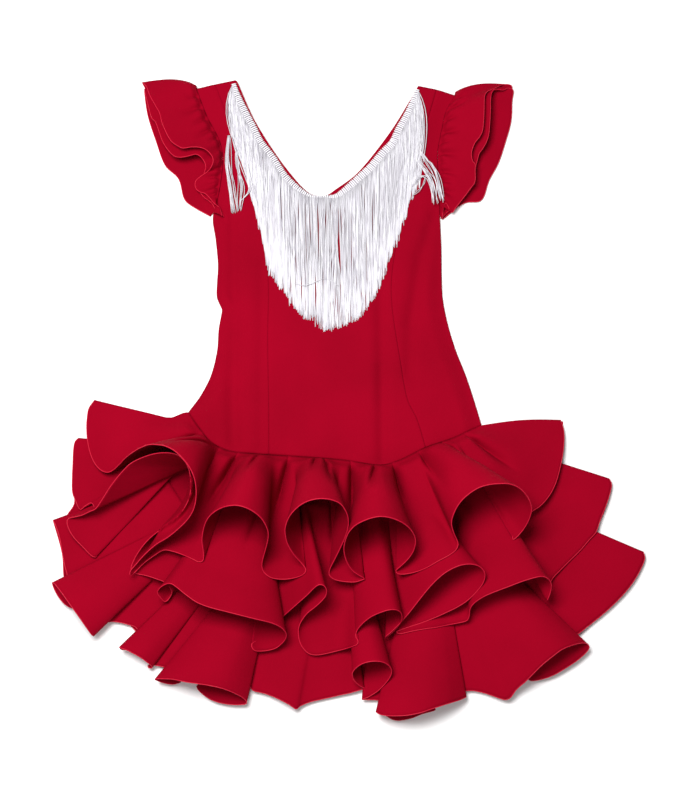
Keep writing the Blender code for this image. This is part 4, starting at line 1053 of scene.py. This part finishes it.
def on_front(line, lift):
    """Points on the bodice's front, lifted this far off the cloth."""
    height = front_height(line[:, 0], line[:, 1])
    return np.column_stack([line, height + CLOTH / 2 + lift])


def edge_index(run, at):
    return int(np.clip(np.searchsorted(run, at), 0, len(run) - 1))


def sewn_strands(rng, edge, run, across):
    """Strands that hang from the braid, each bowed a little by chance."""
    paths = []
    way = np.linspace(0.0, 1.0, STRAND_POINTS)
    t = way[:, None]
    for i in range(STRANDS):
        k = edge_index(run, (i + rng.uniform(-0.5, 0.5)) / STRANDS * run[-1])
        root = edge[k, :2] + across[k] * STRAND_ROOT
        bow, tip_x, tip_y = edge[k, 3:6]
        if i % CLUMP == 0:
            clump = rng.normal(0, 1.0, 4)
            middle = tip_x
        end_x = tip_x + 0.9 * clump[0] + rng.normal(0, 1.2)
        end_y = tip_y + 1.6 * clump[3] + min(rng.exponential(TIP_STRAY), LONGEST_STRAY)
        line = root * (1 - t) + np.array([end_x, end_y]) * t
        line[:, 0] += 0.45 * (middle - tip_x) * way**3
        line[:, 0] += bow * rng.uniform(0.15, 1.0) * BOW_PEAK * way * (1 - way) ** 2
        line[:, 0] += (0.8 * clump[1] + rng.normal(0, 1.1)) * np.sin(pi * way)
        line[:, 0] += (0.6 * clump[2] + rng.normal(0, 0.7)) * np.sin(2 * pi * way)
        layer = rng.uniform(0.5, 2.8) * np.sin(np.clip(way * 1.2 + 0.1, 0, 1) * pi) ** 0.5
        paths.append(on_front(line, STRAND_LIFT + layer))
    return paths


def loose_strands(rng):
    """Strands that lie apart, over the bodice and up onto the sleeve at the right."""
    paths = []
    for bunch in LOOSE:
        spine = through(np.array(bunch[:8]).reshape(4, 2), LOOSE_STEPS)
        way = np.linspace(0.0, 1.0, len(spine))
        for _ in range(bunch.count):
            aside = rng.uniform(-0.5, 0.5) * bunch.spread
            line = spine.copy()
            line[:, 0] += aside * (0.35 + 0.65 * way) + rng.normal(0, 0.9) * np.sin(2 * pi * way)
            line[:, 0] += rng.normal(0, 1.1) * np.sin(pi * way)
            line[:, 1] += rng.normal(0, 2.5) * way
            lift = LOOSE_LIFT + rng.uniform(0.0, 1.6) + 1.2 * np.sin(pi * way)
            on_sleeve = smooth_step((line[:, 0] - SLEEVE_SIDE_X) / 12.0) * (line[:, 1] < SLEEVE_TOP_Y)
            paths.append(on_front(line, lift + ON_SLEEVE_LIFT * on_sleeve))
    return paths


def neck_fringe():
    """The strands, the braid's ribs and the band under them. The band's grey is painted shade between
    the white ribs.
    """
    rng = np.random.default_rng(7)
    edge = even(through(BRAID_EDGE, BRAID_STEPS), 0.6)
    run = lengths_of(at_height(edge[:, :2], 0.0))
    flow = np.gradient(edge[:, :2], axis=0)
    flow /= np.linalg.norm(flow, axis=1)[:, None]
    across = np.column_stack([-flow[:, 1], flow[:, 0]])
    sewn = sewn_strands(rng, edge, run, across)
    loose = loose_strands(rng)
    sizes = [STRAND_RADIUS] * len(sewn) + [LOOSE_RADIUS] * len(loose)
    strands = tubes("neck_fringe_strands", sewn + loose, sizes, STRAND_SIDES, FRINGE_SILK)
    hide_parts("neck_fringe")
    ribs = []
    t = np.linspace(0.0, 1.0, RIB_POINTS)[:, None]
    for at in np.arange(RIB_RADIUS, run[-1], RIB_PITCH):
        k = edge_index(run, at)
        line = edge[k, :2] + across[k] * edge[k, 2] * t
        ribs.append(on_front(line, RIB_LIFT + 0.8 * np.sin(pi * t[:, 0]) ** 0.7))
    bars = tubes("neck_braid_ribs", ribs, [RIB_RADIUS] * len(ribs), RIB_SIDES, BRAID_SILK)
    widths = [(edge[:, 2] * share)[:, None] for share in BAND_SHARES]
    rows = [on_front(edge[:, :2] + across * width, BAND_LIFT) for width in widths]
    band = add_mesh("neck_braid_shade_band", np.stack(rows), grid_faces(len(rows), len(edge)), BAND_PAINTED_SHADE)
    return [strands, bars, band]


# The camera stands where the photograph was taken from. Metres and degrees.
CAMERA_TILT = 75.0
CAMERA_AWAY = 2.3
CAMERA_ASIDE = -10.0
SENSOR = 36.0
LENS_PIXELS = 1920.0
PHOTO_HEIGHT = 798.0
FLOOR_REACH = 6.0
WORLD_LIGHT = 0.26
LAMPS = table(
    Lamp,
    ("key", (-0.45, 0.2, 1.75), 45.0, 0.9),
    ("fill", (-0.4, -1.3, 1.4), 6.0, 0.9),
)


def add_object(name, data):
    obj = bpy.data.objects.new(name, data)
    bpy.context.scene.collection.objects.link(obj)
    return obj


def add_camera():
    camera = add_object("camera", bpy.data.cameras.new("camera"))
    bpy.context.scene.camera = camera
    tilt = radians(CAMERA_TILT)
    away = Vector((0.0, -cos(tilt), sin(tilt)))
    target = Vector(((CENTRE_X + CAMERA_ASIDE) * MM, CENTRE_Y * MM, 0.0))
    camera.location = target + away * CAMERA_AWAY
    camera.rotation_euler = (-away).to_track_quat("-Z", "Y").to_euler()
    camera.data.sensor_width = SENSOR
    camera.data.lens = SENSOR * LENS_PIXELS / PHOTO_HEIGHT
    camera.data.clip_start = 0.05
    camera.data.clip_end = 50.0


def add_floor():
    floor = add_object("floor", bpy.data.meshes.new("floor"))
    corners = [(x * FLOOR_REACH, y * FLOOR_REACH, 0) for x, y in ((-1, -1), (1, -1), (1, 1), (-1, 1))]
    floor.data.from_pydata(corners, [], [(0, 1, 2, 3)])
    made, _, shader = material("floor")
    shader.inputs["Base Color"].default_value = (0.93, 0.93, 0.93, 1.0)
    shader.inputs["Roughness"].default_value = 0.9
    floor.data.materials.append(made)


def add_light():
    world = bpy.data.worlds.new("studio")
    world.use_nodes = True
    backdrop = world.node_tree.nodes["Background"]
    backdrop.inputs["Color"].default_value = (1.0, 1.0, 1.0, 1.0)
    backdrop.inputs["Strength"].default_value = WORLD_LIGHT
    bpy.context.scene.world = world
    for row in LAMPS:
        lamp = add_object(row.name, bpy.data.lights.new(row.name, "AREA"))
        lamp.data.energy = row.energy
        lamp.data.size = row.width
        lamp.location = row.place
        lamp.rotation_euler = (-Vector(row.place)).to_track_quat("-Z", "Y").to_euler()
    bpy.context.scene.view_settings.view_transform = "Standard"


fronts = bodice()
trim = neck_fringe()
ruffles()
sleeves()
add_camera()
add_floor()
add_light()
